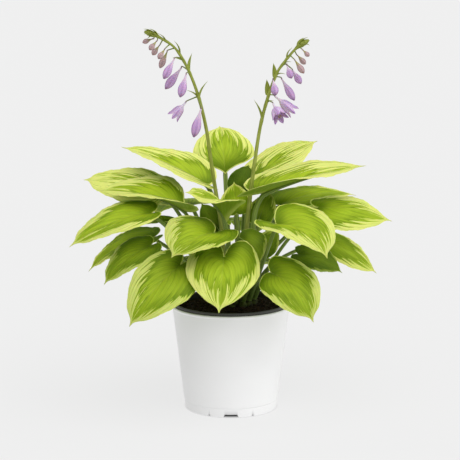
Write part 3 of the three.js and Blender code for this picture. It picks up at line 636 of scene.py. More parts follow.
def blade(shape, leaf, rows, columns, thickness, upper, under, seed=0.0):
    """A thin closed blade. Its upper side lies where the solid's does."""
    s = np.repeat(np.arange(1, rows) / rows, columns + 1)
    out = np.tile(np.arange(columns + 1) / columns, rows - 1)
    left, right = (half_blade(leaf, s, out, hand, seed).reshape(rows - 1, -1, 3) for hand in (0, 1))
    wide = 2 * columns + 1
    sheet = np.concatenate([left[:, :0:-1], right], axis=1).reshape(-1, 3)
    ends = half_blade(leaf, np.array([0.0, 1.0]), np.array([0.0, 0.0]), 1, seed)
    top = np.concatenate([sheet, ends])
    foot, tip = len(sheet), len(sheet) + 1
    faces = grid_faces(rows - 1, wide)
    for j in range(wide - 1):
        faces.append((foot, j + 1, j))
        faces.append((tip, (rows - 2) * wide + j, (rows - 2) * wide + j + 1))
    outline = [foot, *range(wide - 1, len(sheet), wide), tip, *range(len(sheet) - wide, -1, -wide)]
    corners = top[np.array([face[:3] for face in faces])]
    facing = np.cross(corners[:, 1] - corners[:, 0], corners[:, 2] - corners[:, 0])
    normals = np.zeros_like(top)
    for face, normal in zip(faces, facing):
        for corner in face:
            normals[corner] += normal
    columns_across = np.tile(np.arange(-columns, columns + 1) / columns, rows - 1)
    depth = thickness * (1 - THIN_EDGE * np.append(np.abs(columns_across) ** 6, [1, 1]))
    lower = top - unit(normals) * depth[:, None]
    count = len(top)
    edge_faces = [(a, count + a, count + b, b) for a, b in zip(outline, [*outline[1:], outline[0]])]
    below = [tuple(count + corner for corner in reversed(face)) for face in faces]
    finishes = [upper] * len(faces) + [under] * len(below) + [upper] * len(edge_faces)
    border = through(top[outline], 3)
    across = np.append(columns_across, [0, 0])
    layers = {
        "run": np.append(np.repeat(np.arange(1, rows) / rows, wide), [0, 1]),
        "across": across,
        "inset": [np.sqrt(((border - place) ** 2).sum(axis=1).min()) for place in top],
        "pale": np.where(across < 0, for_half(leaf["pale"], 0), for_half(leaf["pale"], 1)),
    }
    layers = {name: np.tile(values, 2) for name, values in layers.items()}
    sharp = [*outline, *(count + corner for corner in outline)]
    points = np.concatenate([top, lower])
    faces = faces + below + edge_faces
    shape.add(points, faces, finishes, sharp, seed=seed, tone=leaf["tone"], **layers)


CROWN_TOP = 153
CROWN_OFFSET = 4
ROOTING_DEPTH = 14
ROOT_RING = 0.6
STALK_FOOT_RADIUS = 2.7
RINGS = ((29, 18), (20.5, 12), (12, 7), (0, 1))
STALK_SIDES = 14
STALK_STEPS = 22
KEEL_STEPS = 16
KEEL_END = 0.86
KEEL_PLACES = (0, 0.12, 0.5, KEEL_END)
KEEL_SHARES = np.array([0.86, 0.55, 0.34, 0.12])
KEEL_SINK = 0.8
KEEL_DROP = 0.15
STALK_LEAN = 0.35
STALK_SINK = 0.75
STALK_RUN = 0.6
GROOVE_DEPTH, GROOVE_WIDTH = 0.3, 0.2
BANK_HEIGHT, BANK_PLACE, BANK_WIDTH = 0.08, 0.3, 0.1


def root_of(growth):
    """The foot of a stalk or stem, from its ring and its slot in that ring of the crown."""
    ring, slot = growth["root"]
    radius, slots = RINGS[ring]
    return radius * direction(360 / slots * slot, 0) + (CROWN_OFFSET, 0, CROWN_TOP - ROOTING_DEPTH)


def channelled(turns):
    """A stalk's section, with a shallow groove on its upper side and a low bank on each side of it."""
    groove = GROOVE_DEPTH * np.exp(-((turns / GROOVE_WIDTH) ** 2))
    banks = BANK_HEIGHT * np.exp(-(((np.abs(turns) - BANK_PLACE) / BANK_WIDTH) ** 2))
    return 1 - groove + banks


def petiole(shape, leaf, finish, seed):
    """The leaf's stalk, and its keel under the midrib."""
    root = root_of(leaf)
    ground = root + (0, 0, ROOTING_DEPTH)
    (joint,), (ahead,), (up,), _ = midrib(leaf, [0.0])
    span = np.linalg.norm(joint - ground)
    towards = leaf["lean"] or joint[:2]
    outward = math.degrees(math.atan2(towards[1], towards[0] - CROWN_OFFSET))
    lean = unit(direction(outward, 0) * STALK_LEAN + (0, 0, 1))
    bent = unit(ahead + (0, 0, leaf["elbow"]))
    sunk = joint - up * leaf["stalk"] * STALK_SINK
    handles = ground, ground + lean * span * leaf["stand"], sunk - bent * span * leaf["arrive"], sunk
    t = np.linspace(0, 1, STALK_STEPS)[:, None]
    rise = cubic(*handles, t)
    u = np.linspace(0, KEEL_END, KEEL_STEPS)[1:]
    place, _, above, _ = midrib(leaf, u)
    keel_radii = np.interp(u, KEEL_PLACES, KEEL_SHARES * leaf["stalk"])
    keel = place - above * (keel_radii * KEEL_SINK + KEEL_DROP)[:, None]
    line = np.concatenate([root[None], root[None] + (0, 0, ROOTING_DEPTH * ROOT_RING), rise, keel])
    foot = STALK_FOOT_RADIUS
    stalk_radii = foot + (leaf["stalk"] - foot) * t[:, 0]
    radii = np.concatenate([[foot, foot], stalk_radii, keel_radii])
    run = np.concatenate([[0, 0], t[:, 0] * STALK_RUN, STALK_RUN + (1 - STALK_RUN) * u])
    inward = -direction(outward, 0)
    tube(shape, line, radii, STALK_SIDES, finish, inward, channelled, run, seed)


def a_leaf(name, root, base, tip, face, width, **form):
    """Where its stalk stands, its joint, its tip, the way its upper side faces, its width and form."""
    places = {"root": root, "base": base, "tip": tip, "face": face, "width": width}
    return {**USUAL_LEAF, "name": "leaf_" + name, **places, **form}


LEAVES = [
    a_leaf("top_centre", (2, 2.1), (-8, 91, 318), (-17, 151, 381), (-90, 48), 90, arch=12,
           lobe=-0.1, sinus=0.3, full=0.5, fold=18, stalk=3.4, pale=(13, 11)),
    a_leaf("upper_left", (1, 4.9), (-32, 42, 309), (-156, 62, 361), (-90, 72), (88, 94),
           fold=(36, 26), twist=10, stalk=3.2, pale=(18, 15), arch=6, lobe=(0.13, 0.05)),
    a_leaf("upper_right_back", (1, 2.1), (32, 66, 317), (125, 95, 366), (-80, 66), (64, 80), arch=6,
           fold=(20, 24), pale=19),
    a_leaf("upper_right", (1, 11.7), (43, -8, 305), (188, 12, 341), (-90, 86), (100, 80), arch=5,
           fold=(36, 42), open=0.8, twist=10, sinus=0.3, lobe=(0.14, 0.25), stalk=4, pale=(17, 15)),
    a_leaf("far_left", (0, 7.6), (-100, 45, 305), (-210, 60, 314), (-90, 60), (84, 64), arch=8,
           fold=(0, 12), pale=(22, 17), full=(0.6, 0.45)),
    a_leaf("left", (1, 5.9), (-62, 0, 278), (-186, -5, 308), (-90, 72), (80, 112), arch=12,
           fold=(60, 30), pale=(11, 14), open=1, lobe=(0.1, -0.05), tone=0.9),
    a_leaf("left_middle", (0, 9.8), (-108, -35, 282), (-219, -72, 241), (-90, 66), (66, 82),
           arch=12, lobe=(0.08, 0.13), fold=(26, 12), open=1, pale=(10, 9), tone=0.8),
    a_leaf("left_low", (0, 8.6), (-108, 12, 240), (-200, 5, 192), (-100, 76), (60, 74), arch=12,
           fold=(20, 16), pale=6),
    a_leaf("left_lower_front", (0, 10.8), (-109, -39, 238), (-173, -68, 188), (-110, 54), (50, 62),
           pale=5, tone=0.6),
    a_leaf("front_left_bottom", (0, 12), (-67, -85, 220), (-135, -133, 145), (-105, 42), (94, 88),
           arch=12, lobe=0.16, pale=(7, 12), tone=0.7),
    a_leaf("front_left", (1, 8), (-22, -70, 261), (-79, -128, 237), (-90, 58), (68, 108),
           lobe=(0.3, 0.2), sinus=0.25, full=(0.45, 0.6), fold=(20, 12), pale=(6, 11), tone=0.75),
    a_leaf("front_centre", (0, 13.3), (-9, -80, 230), (-16, -153, 168), (-90, 42), 100, lobe=0.32,
           pale=(10, 12), tone=0.85),
    a_leaf("front_right_bottom", (0, 14.8), (53, -85, 209), (109, -138, 152), (-80, 38), (80, 74),
           arch=12, lobe=(0.16, 0.05), sweep=-6, pale=(9, 7), full=(0.45, 0.7), tone=0.72),
    a_leaf("front_right", (0, 15.8), (60, -78, 274), (127, -128, 236), (-70, 58), (98, 80), arch=12,
           fold=(24, 30), sweep=-7, lobe=(0.1, 0.26), sinus=0.3, full=(0.6, 0.4), lean=(80, -24),
           stand=0.6, elbow=2.5, pale=(10, 11), tone=0.85),
    a_leaf("far_right", (0, 17.8), (120, 5, 283), (223, -15, 267), (-90, 54), (60, 78),
           full=(0.1, 0.55), fold=(4, 0), pale=(13, 9), tone=0.95),
    a_leaf("right_back", (0, 0.6), (68, 60, 278), (180, 78, 289), (-90, 86), 80, fold=(32, -12),
           open=1, pale=8),
    a_leaf("right_low_dark", (0, 17), (93, -26, 223), (153, -40, 199), (-90, 60), 52, arch=8,
           pale=2.5, tone=0.25),
    a_leaf("right_low", (0, 1.6), (131, 36, 234), (207, 32, 184), (-80, 44), (42, 50), arch=8,
           arrive=0.45, pale=6, full=(0.3, 0.5)),
    a_leaf("behind_front", (1, 9.2), (12, -47, 250), (40, -72, 218), (-80, 45), (58, 26), arch=8,
           lobe=(0.13, 0), fold=(16, -20), pale=2.5, tone=0.4),
    a_leaf("inner_front", (2, 4.9), (-6, -40, 268), (-62, -64, 315), (70, 80), (108, 56), arch=12,
           fold=(66, 50), open=1, twist=-45, lobe=(-0.15, 0.1), sinus=0.3, stalk=3.4, pale=7,
           full=(0.35, 0.45)),
    a_leaf("inner_tip", (2, 6), (8, 8, 274), (4, 2, 320), (-90, 10), 46, arch=3, lobe=0.05, pale=3),
    a_leaf("inner_right", (1, 0.55), (38, 14, 262), (57, 34, 300), (-100, 40), 40, arch=4, pale=3,
           tone=0.6),
    a_leaf("inner_back", (2, 1.2), (10, 30, 300), (25, 46, 338), (-90, 12), 40, arch=4, lobe=0.06,
           pale=0, tone=0.15),
    a_leaf("inner_left", (1, 6.95), (-38, -16, 240), (-72, -4, 272), (-90, 25), 40, arch=4, pale=2,
           tone=0.5),
    a_leaf("inner_low_right", (1, 10.4), (40, -24, 226), (66, -18, 256), (-80, 20), 34, arch=4,
           pale=2, tone=0.5),
    a_leaf("inner_shade", (3, 0), (-16, 15, 248), (-42, 16, 288), (-90, 4), 36, arch=3, pale=0,
           tone=0.3, arrive=0.5),
    a_leaf("back_centre", (1, 3.3), (26, 76, 250), (28, 154, 212), (80, 70), 76, arch=16),
    a_leaf("back_right", (1, 1.35), (79, 88, 279), (133, 150, 248), (50, 65), 78, arch=14),
    a_leaf("back_far_right", (0, 2.6), (96, 84, 252), (160, 136, 228), (40, 60), 72, arch=14),
    a_leaf("back_left", (1, 4.1), (-56, 72, 276), (-112, 151, 246), (120, 65), 80, arch=14),
    a_leaf("back_far_left", (0, 6.8), (-92, 66, 252), (-172, 118, 228), (140, 65), 76, arch=12),
    a_leaf("back_low", (0, 4.6), (0, 70, 205), (0, 150, 151), (90, 55), 72, arch=12),
    a_leaf("back_low_right", (0, 3.7), (44, 66, 198), (102, 120, 149), (50, 50), 66),
    a_leaf("back_low_left", (0, 5.8), (-48, 63, 203), (-106, 116, 155), (135, 50), 66),
]


def grow_leaves():
    for number, row in enumerate(LEAVES):
        seed = (number * GOLDEN_TURN) % 10
        shape = Shape()
        blade(shape, row, BLADE_ROWS, BLADE_COLUMNS, BLADE_THICKNESS, 0, 1, seed)
        petiole(shape, row, 2, seed)
        shape.piece(row["name"], [LEAF_UPPER, LEAF_UNDER, STALK_GREEN])


# Flower stems and flowers

BRACT = {
    **USUAL_LEAF, "arch": 2, "lobe": 0, "sinus": 0.5, "fold": 25, "curl": 0, "full": 0.2, "depth": 0,
    "count": 0, "puff": 0.0, "ripple": 0.2, "pale": 0,
}
BRACT_TILT = 30
BRACT_ROWS = 14
BRACT_COLUMNS = 6
BRACT_THICKNESS = 0.45
STEM_SIDES = 16
STEM_STEPS = 8
NODE_SWELLING = 0.45
NODE_REACH = 3.5
SEED_STEP = 1.7
BRACT_SEED_STEP = 1.3

# Thick is the stem's radius at its foot and at each point of its line. Each bract has a foot, a tip
# and a width.
SCAPES = [
    {
        "name": "flower_stem_left",
        "root": (2, 3.4),
        "line": [(-11, 5, 190), (-13, 6, 252), (-21, 4, 304), (-28, -5, 352), (-34, -11, 395),
                 (-44, -15, 438), (-58, -18, 476), (-76, -21, 506), (-98, -23, 521), (-107, -24, 525),
                 (-112, -24, 527), (-117, -25, 528)],
        "thick": [3.6, 3.4, 3.2, 2.8, 2.5, 2.4, 2.2, 1.9, 1.6, 1.8, 4, 4.2, 1.4],
        "bracts": [
            ((-43, -15, 437), (-32, -18, 461), 9), ((-56, -18, 473), (-53, -20, 499), 8),
            ((-70, -20, 498), (-77, -22, 516), 7), ((-88, -22, 514), (-99, -24, 526), 6),
            ((-44, -15, 436), (-60, -12, 448), 8), ((-65, -20, 489), (-79, -22, 493), 7),
            ((-100, -24, 522), (-113, -28, 519), 9), ((-99, -22, 521), (-110, -22, 532), 9),
            ((-104, -24, 524), (-118, -27, 532), 9), ((-103, -22, 523), (-118, -19, 526), 9),
            ((-103, -25, 523), (-117, -31, 525), 9),
        ],
    },
    {
        "name": "flower_stem_right",
        "root": (2, 0.4),
        "line": [(21, 4, 190), (22, 1, 252), (27, -8, 305), (33, -4, 350), (40, 10, 393), (49, 9, 430),
                 (61, 10, 465), (72, 11, 483), (88, 12, 502), (97, 12, 509), (102, 12, 512),
                 (107, 12, 515)],
        "thick": [3.6, 3.4, 3.2, 2.9, 2.6, 2.4, 2.2, 2, 1.7, 1.8, 4, 4, 1.4],
        "bracts": [
            ((42, 11, 404), (32, 7, 433), 9), ((50, 10, 439), (49, 6, 462), 8),
            ((59, 10, 464), (58, 8, 484), 7), ((77, 11, 490), (84, 9, 505), 6),
            ((49, 9, 427), (59, 14, 431), 6), ((62, 10, 466), (75, 13, 468), 6),
            ((71, 11, 480), (83, 14, 485), 6), ((95, 12, 508), (105, 9, 519), 9),
            ((95, 13, 507), (109, 16, 514), 9), ((93, 12, 506), (100, 15, 518), 9),
            ((95, 11, 507), (108, 7, 508), 9),
        ],
    },
]


def a_bloom(stem, name, start, base, tip, width, young=False):
    """A bud or an open flower, and where its stalk starts on its stem. A young bud is brownish."""
    places = {"stem": stem, "name": name, "start": start, "base": base, "tip": tip}
    return {**places, "width": width, "young": young}


BLOOMS = [
    a_bloom(0, "bud_left_1", (-44, -15, 438), (-41, -22, 423), (-51, -26, 385), 13),
    a_bloom(0, "flower_left_2", (-45, -15, 440), (-62, -8, 431), (-80, -4, 410), 17),
    a_bloom(0, "bud_left_3", (-56, -18, 473), (-61, -25, 470), (-69, -30, 440), 12),
    a_bloom(0, "bud_left_4", (-57, -18, 475), (-68, -10, 478), (-90, -6, 449), 12),
    a_bloom(0, "bud_left_5", (-66, -20, 490), (-77, -28, 491), (-91, -33, 465), 11),
    a_bloom(0, "bud_left_6", (-76, -21, 506), (-87, -14, 500), (-97, -11, 478), 9, young=True),
    a_bloom(0, "bud_left_7", (-83, -21, 511), (-90, -30, 504), (-98, -34, 492), 8, young=True),
    a_bloom(0, "bud_left_8", (-92, -22, 518), (-98, -16, 508), (-107, -14, 496), 8, young=True),
    a_bloom(0, "bud_left_9", (-99, -23, 522), (-101, -31, 515), (-110, -34, 504), 8, young=True),
    a_bloom(0, "bud_left_10", (-104, -23, 526), (-107, -19, 518), (-120, -17, 513), 7, young=True),
    a_bloom(1, "flower_right_1", (50, 9, 433), (58, 1, 428), (68, -17, 409), 21),
    a_bloom(1, "flower_right_2", (52, 10, 440), (61, 17, 437), (88, 22, 414), 17),
    a_bloom(1, "bud_right_3", (59, 10, 461), (58, 3, 460), (61, -3, 440), 11),
    a_bloom(1, "bud_right_4", (61, 10, 465), (70, 16, 461), (88, 20, 431), 11),
    a_bloom(1, "bud_right_5", (70, 11, 480), (77, 4, 480), (83, 0, 463), 10),
    a_bloom(1, "bud_right_6", (73, 11, 484), (85, 18, 473), (97, 21, 454), 10),
    a_bloom(1, "bud_right_7", (81, 11, 494), (88, 4, 487), (100, 1, 470), 9, young=True),
    a_bloom(1, "bud_right_8", (87, 12, 501), (92, 18, 493), (103, 21, 481), 8, young=True),
    a_bloom(1, "bud_right_9", (93, 12, 506), (99, 5, 501), (107, 3, 493), 7, young=True),
]

TOUCHING_GAP = 0.3
STALK_NECK = 2.5
STALK_SHARES = (0, 0.2, 0.8, 1)
STALK_RADII = (1.25, 0.85, 0.8, 1.0)
BUD_SHARES = (0, 0.14, 0.32, 0.52, 0.68, 0.86, 1)
BUD_RADII = (0.18, 0.28, 0.56, 0.92, 1, 0.74, 0.14)
BUD_SIDES = 30
BUD_RINGS = 28
BUD_RIBS = 0.035
BELL_SHARES = (0, 0.22, 0.4, 0.6, 0.82, 1)
BELL_RADII = (0.14, 0.2, 0.64, 0.88, 1, 1.16)
BELL_SIDES = 72
BELL_RINGS = 26
BELL_WALL = 0.35
BELL_LEAST_RADIUS = 0.2
PETALS = 6
PETALS_FROM = 0.45
PETAL_DEPTH = 0.26
PETAL_ROUNDNESS = 0.6
PETAL_POINT = 0.55
RIDGE_HEIGHT = 0.05
RIDGE_WIDTH = 0.12

# A thread's end along the bell, its share of the bell's radius and the size of its tip.
STAMEN = 0.84, 0.24, 0.75
STYLE = 0.98, 0.08, 0.5
THREAD_START = 0.3
THREAD_STEPS = 12
THREAD_RADIUS = 0.28
THREAD_SPREAD = 0.8
THREAD_RISE = (0, 0, 1.5)
THREAD_TURN = 0.4
THREAD_SIDES = 6
THREAD_RUN = 0.05
POD_SIDES = 8
POD_STEPS = 7
POD_ROUNDNESS = 0.15
POD_BACK = -0.3
POD_LENGTH = 2.2
CURVE_STEPS = 8
BLOOM_STALK_SIDES = 10
BLOOM_STALK_GAP = 0.2


def bloom_axis(bloom):
    """A bloom's base, its axis, two ways square to it and its length."""
    base, axis, length = axis_of(bloom)
    across = unit(np.array([0, 1, 0]) - axis * axis[1])
    return base, axis, across, np.cross(axis, across), length


def smooth_profile(shares, radii, at):
    """A rounded curve through a profile's points."""
    curve = through([(x, y, 0) for x, y in zip(shares, radii)], CURVE_STEPS)
    return np.interp(at, curve[:, 0], curve[:, 1])


def bud(bloom, seed):
    shape = Shape()
    base, axis, _, _, length = bloom_axis(bloom)
    share = np.linspace(0, 1, BUD_RINGS)
    radii = smooth_profile(BUD_SHARES, BUD_RADII, share) * bloom["width"] / 2
    line = base + axis * (share * length)[:, None]
    tube(shape, line, radii, BUD_SIDES, 0, (0, 1, 0), ribbed, share, seed)
    petal = YOUNG_PETAL if bloom["young"] else BUD_PETAL
    shape.piece(bloom["name"], [petal])


def ribbed(turns):
    """A bud's section, with a soft rib for each outer petal."""
    return 1 + BUD_RIBS * np.cos(turns * math.pi * PETALS)


def bell(bloom, seed):
    """An open flower: a tube that widens into a bell with six pointed petals, stamens and a style."""
    shape = Shape()
    base, axis, across, other, length = bloom_axis(bloom)
    turns = np.arange(BELL_SIDES) / BELL_SIDES * 2
    from_middle = np.abs((turns * PETALS / 2 + 0.5) % 1 - 0.5) * 2
    reach = 1 - PETAL_DEPTH * (1 - (1 - from_middle) ** PETAL_ROUNDNESS)
    shares = np.linspace(0, 1, BELL_RINGS)[:, None] * reach
    beyond = np.clip(shares - PETALS_FROM, 0, 1)
    ridge = RIDGE_HEIGHT * beyond * (from_middle < RIDGE_WIDTH)
    radii = smooth_profile(BELL_SHARES, BELL_RADII, shares) * bloom["width"] / 2
    radii = radii * (1 - PETAL_POINT * beyond * from_middle**2 + ridge)
    spokes = np.cos(turns * math.pi)[:, None] * across + np.sin(turns * math.pi)[:, None] * other
    middles = base + axis * (shares * length)[..., None]
    outside = middles + spokes * radii[..., None]
    inside = middles + spokes * np.maximum(radii - BELL_WALL, BELL_LEAST_RADIUS)[..., None]
    points = np.concatenate([outside, inside[::-1]])
    faces = grid_faces(2 * BELL_RINGS, BELL_SIDES, closed=True)
    run = np.concatenate([shares, shares[::-1]]).reshape(-1)
    signed = np.tile(turns - 1, 2 * BELL_RINGS)
    rim = range((BELL_RINGS - 1) * BELL_SIDES, (BELL_RINGS + 1) * BELL_SIDES)
    shape.add(points, faces, 0, sharp=rim, run=run, across=signed, seed=seed)
    for turn in angles_round(PETALS):
        thread(shape, bloom, turn + THREAD_TURN, STAMEN, seed)
    thread(shape, bloom, 2 * math.pi + THREAD_TURN, STYLE, seed)
    shape.piece(bloom["name"], [OPEN_PETAL, ANTHER])


def thread(shape, bloom, turn, form, seed):
    """A stamen or the style: a curved thread with a swelling at its end."""
    base, axis, across, other, length = bloom_axis(bloom)
    reach, spread, size = form
    outward = across * math.cos(turn) + other * math.sin(turn)
    share = np.linspace(THREAD_START, reach, THREAD_STEPS)
    bow = ((share - THREAD_START) / (1 - THREAD_START))[:, None]
    line = base + axis * (share * length)[:, None]
    line = line + outward * bloom["width"] / 2 * spread * bow**THREAD_SPREAD
    line = line + np.array(THREAD_RISE) * bow**3
    radii = np.full(THREAD_STEPS, THREAD_RADIUS)
    run = np.full(THREAD_STEPS, THREAD_RUN)
    tube(shape, line, radii, THREAD_SIDES, 0, across, None, run, seed)
    end, ahead = line[-1], unit(line[-1] - line[-2])
    swelling = np.sin(np.linspace(POD_ROUNDNESS, math.pi - POD_ROUNDNESS, POD_STEPS))
    pod = end + ahead * np.linspace(POD_BACK, POD_LENGTH * size, POD_STEPS)[:, None]
    tube(shape, pod, swelling * size, POD_SIDES, 1, across)


def flower_stem(scape, index):
    shape = Shape()
    root = root_of(scape)
    points = [root, root + (0, 0, ROOTING_DEPTH), *scape["line"]]
    line = through(points, STEM_STEPS)
    rings = np.linspace(0, len(points) - 1, len(line))
    thick = np.interp(rings, range(len(points)), [scape["thick"][0], *scape["thick"]])
    nodes = np.array([bract[0] for bract in scape["bracts"]], float)
    near = np.array([np.linalg.norm(nodes - place, axis=1).min() for place in line])
    thick = thick + NODE_SWELLING * np.exp(-((near / NODE_REACH) ** 2))
    tube(shape, line, thick, STEM_SIDES, 0)
    for number, (base, tip, width) in enumerate(scape["bracts"]):
        lean = np.subtract(tip, base)
        facing = math.degrees(math.atan2(lean[1], lean[0])) + 180
        bract = {**BRACT, "base": base, "tip": tip, "width": width, "face": (facing, BRACT_TILT)}
        seed = number * BRACT_SEED_STEP
        blade(shape, bract, BRACT_ROWS, BRACT_COLUMNS, BRACT_THICKNESS, 1, 1, seed)
    for bloom in BLOOMS:
        if bloom["stem"] == index:
            base, axis, _, _, _ = bloom_axis(bloom)
            neck = base - axis * (TOUCHING_GAP + STALK_NECK)
            end = base - axis * TOUCHING_GAP * BLOOM_STALK_GAP
            line = through([bloom["start"], neck, end], CURVE_STEPS)
            share = np.linspace(0, 1, len(line))
            radii = np.interp(share, STALK_SHARES, STALK_RADII)
            tube(shape, line, radii, BLOOM_STALK_SIDES, 2, run=share)
    shape.piece(scape["name"], [STEM_OLIVE, BRACT_GREEN, FLOWER_STALK])


def grow_flowers():
    for index, scape in enumerate(SCAPES):
        flower_stem(scape, index)
    for number, bloom in enumerate(BLOOMS):
        grow = bell if bloom["name"].startswith("flower") else bud
        grow(bloom, number * SEED_STEP)


# Soil, crown and pots

POT_SIDES = 144
POT_HEIGHT = 147
POT_TOP_RADIUS = 82.5
POT_FOOT_RADIUS = 65.5
POT_WALL = 1.6
FOOT_HEIGHT = 12.5
FOOT_STEP = 0.9
FOOT_DRAFT = 1
FOOT_RIM_WIDTH = 1.6
FLOOR_UNDERSIDE = 6
FLOOR_THICKNESS = 2
RIM_BEAD = 0.8
RIM_HEIGHT = 4
BEAD_LOW, BEAD_HIGH = 0.65, 0.25
LINER_GAP = 0.4
LINER_WALL = 1.5
LIP_RISE = 4
LIP_WIDTH = 3
LIP_BEVEL = 0.96
PROFILE_BEVEL = 0.7

# A group of drain notches: the width, height and corner of each, and its degrees from the middle.
NOTCHES = ((22, 4.5, 2.5, 0), (4, 2.5, 0.8, -28), (4, 2.5, 0.8, 28))
NOTCH_GROUPS = (0, 120, 240)
NOTCH_FLARE = 1
CUTTER_INWARD, CUTTER_OUTWARD = 10, 5

SOIL_EDGE_HEIGHT = 140.5
SOIL_MIDDLE_HEIGHT = 149
SOIL_RINGS = 56
SOIL_SIDES = 150
SOIL_GRAIN = 0.55
SOIL_CALM_WIDTH = 3
LEAST_LUMPS = 0.1
SOIL_WAVES = ((0.31, 9, 1, 0.35), (0.83, 17, 2, 0.28), (1.3, 31, 4, 0.22), (0.55, -23, 0, 0.3))
CHIPS = 1500
CHIPS_UNDER_CROWN = 6
CHIP_MARGIN = 3
CHIP_SIZES = ((0.8, 3.2), (0.5, 1.6), (0.3, 0.8))
CHIP_CORNERS = [(x, y, z) for x in (-1, 1) for y in (-1, 1) for z in (-1, 1)]
CHIP_FACES = ((0, 1, 3, 2), (4, 6, 7, 5), (0, 4, 5, 1), (2, 3, 7, 6), (0, 2, 6, 4), (1, 5, 7, 3))
CHIP_RAGGEDNESS = 0.6, 1.0
CHIP_TILT = 0.5
CHIP_LIFT = 0.4
CROWN_RADIUS = 35
CLUMP_RADIUS = 33.5
CLUMP_BOTTOM = 112
CLUMP_FOOT = ((26, CLUMP_BOTTOM), (CLUMP_RADIUS, 121))
CLUMP_SHOULDER = 145.5
CLUMP_DOME = 5.5
CLUMP_TIP = 0.5
CLUMP_RINGS = 20
CLUMP_SIDES = 90
KNOBS_ROUND = 11
KNOB_HEIGHT = 0.5
KNOB_FADE = 8
SHEATH_HEIGHTS = (2, 8, 12, 15, 17)
SHEATH_SHARES = np.array([1.95, 1.95, 1.82, 1.534, 1.3])
SHEATH_SIDES = 14
SCAPE_FOOT = 3.4


def wall_radius(height):
    slope = (POT_TOP_RADIUS - POT_FOOT_RADIUS - FOOT_STEP) / (POT_HEIGHT - FOOT_HEIGHT)
    return POT_FOOT_RADIUS + FOOT_STEP + slope * (height - FOOT_HEIGHT)


def softened(profile, radius):
    """A profile with each inner corner cut to a short curve."""
    points = [np.array(point, float) for point in profile]
    soft = [points[0]]
    for before, corner, after in zip(points, points[1:], points[2:]):
        back = min(radius, np.linalg.norm(before - corner) * 0.4)
        on = min(radius, np.linalg.norm(after - corner) * 0.4)
        start = corner + (before - corner) / np.linalg.norm(before - corner) * back
        end = corner + (after - corner) / np.linalg.norm(after - corner) * on
        for t in (0, 0.25, 0.5, 0.75, 1):
            soft.append(start * (1 - t) ** 2 + 2 * corner * t * (1 - t) + end * t**2)
    soft.append(points[-1])
    return soft


def ring(radius, height, sides):
    """A level circle of points round the pot's middle, at one height or at one for each point."""
    angles = angles_round(sides)
    heights = np.broadcast_to(height, sides)
    return np.stack([radius * np.cos(angles), radius * np.sin(angles), heights], axis=1)


def turned(shape, profile):
    """A closed form turned from a profile of radius and height that starts and ends on the axis."""
    rings = [ring(radius, height, POT_SIDES) for radius, height in profile[1:-1]]
    shape.add_rings(rings, (0, 0, profile[0][1]), (0, 0, profile[-1][1]), 0)


def notch_cutter(width, height, corner, azimuth):
    """A block that cuts one notch in the foot, wider at the ground."""
    half = width / 2
    flare = NOTCH_FLARE
    right_side = [(half + flare, -flare), (half, 0), (half - corner, height)]
    outline = [(-half - flare, -flare), *right_side, (corner - half, height), (-half, 0)]
    turn = math.radians(azimuth)
    out = np.array([math.sin(turn), -math.cos(turn), 0])
    side = np.array([math.cos(turn), math.sin(turn), 0])
    near, far = POT_FOOT_RADIUS - CUTTER_INWARD, POT_FOOT_RADIUS + CUTTER_OUTWARD
    points = [side * x + out * depth + (0, 0, z) for depth in (near, far) for x, z in outline]
    count = len(outline)
    faces = grid_faces(2, count, closed=True)
    faces.append(tuple(range(count - 1, -1, -1)))
    faces.append(tuple(range(count, 2 * count)))
    mesh = bpy.data.meshes.new("cutter")
    mesh.from_pydata((np.array(points) * MM).tolist(), [], faces)
    mesh.validate()
    return mesh


def cut_notches(pot):
    """Cuts the three wide and six narrow drain notches out of the foot."""
    for azimuth in NOTCH_GROUPS:
        for width, height, corner, offset in NOTCHES:
            cutter = added("cutter", notch_cutter(width, height, corner, azimuth + offset))
            cut = pot.modifiers.new("notch", "BOOLEAN")
            cut.operation = "DIFFERENCE"
            cut.solver = "EXACT"
            cut.object = cutter
            bpy.context.view_layer.update()
            seen = pot.evaluated_get(bpy.context.evaluated_depsgraph_get())
            made = bpy.data.meshes.new_from_object(seen)
            pot.modifiers.remove(cut)
            pot.data = made
            bpy.data.objects.remove(cutter)


def outer_pot():
    foot_out = POT_FOOT_RADIUS - FOOT_DRAFT
    foot_in = foot_out - FOOT_RIM_WIDTH
    floor_top = FLOOR_UNDERSIDE + FLOOR_THICKNESS
    profile = [
        (0, FLOOR_UNDERSIDE),
        (foot_in, FLOOR_UNDERSIDE),
        (foot_in, 0),
        (foot_out, 0),
        (POT_FOOT_RADIUS, FOOT_HEIGHT),
        (wall_radius(FOOT_HEIGHT), FOOT_HEIGHT + FOOT_STEP),
        (wall_radius(POT_HEIGHT - RIM_HEIGHT), POT_HEIGHT - RIM_HEIGHT),
        (POT_TOP_RADIUS + RIM_BEAD, POT_HEIGHT - BEAD_LOW * RIM_HEIGHT),
        (POT_TOP_RADIUS + RIM_BEAD, POT_HEIGHT - BEAD_HIGH * RIM_HEIGHT),
        (POT_TOP_RADIUS, POT_HEIGHT),
        (POT_TOP_RADIUS - POT_WALL, POT_HEIGHT),
        (wall_radius(FLOOR_UNDERSIDE) - POT_WALL, floor_top),
        (0, floor_top),
    ]
    shape = Shape()
    turned(shape, softened(profile, PROFILE_BEVEL))
    pot = shape.piece("outer_pot", [WHITE_PLASTIC])
    cut_notches(pot)


def liner_radius(height):
    return wall_radius(height) - POT_WALL - LINER_GAP


LINER_FLOOR = FLOOR_UNDERSIDE + FLOOR_THICKNESS + TOUCHING_GAP
LIP_TOP = POT_HEIGHT + LIP_RISE


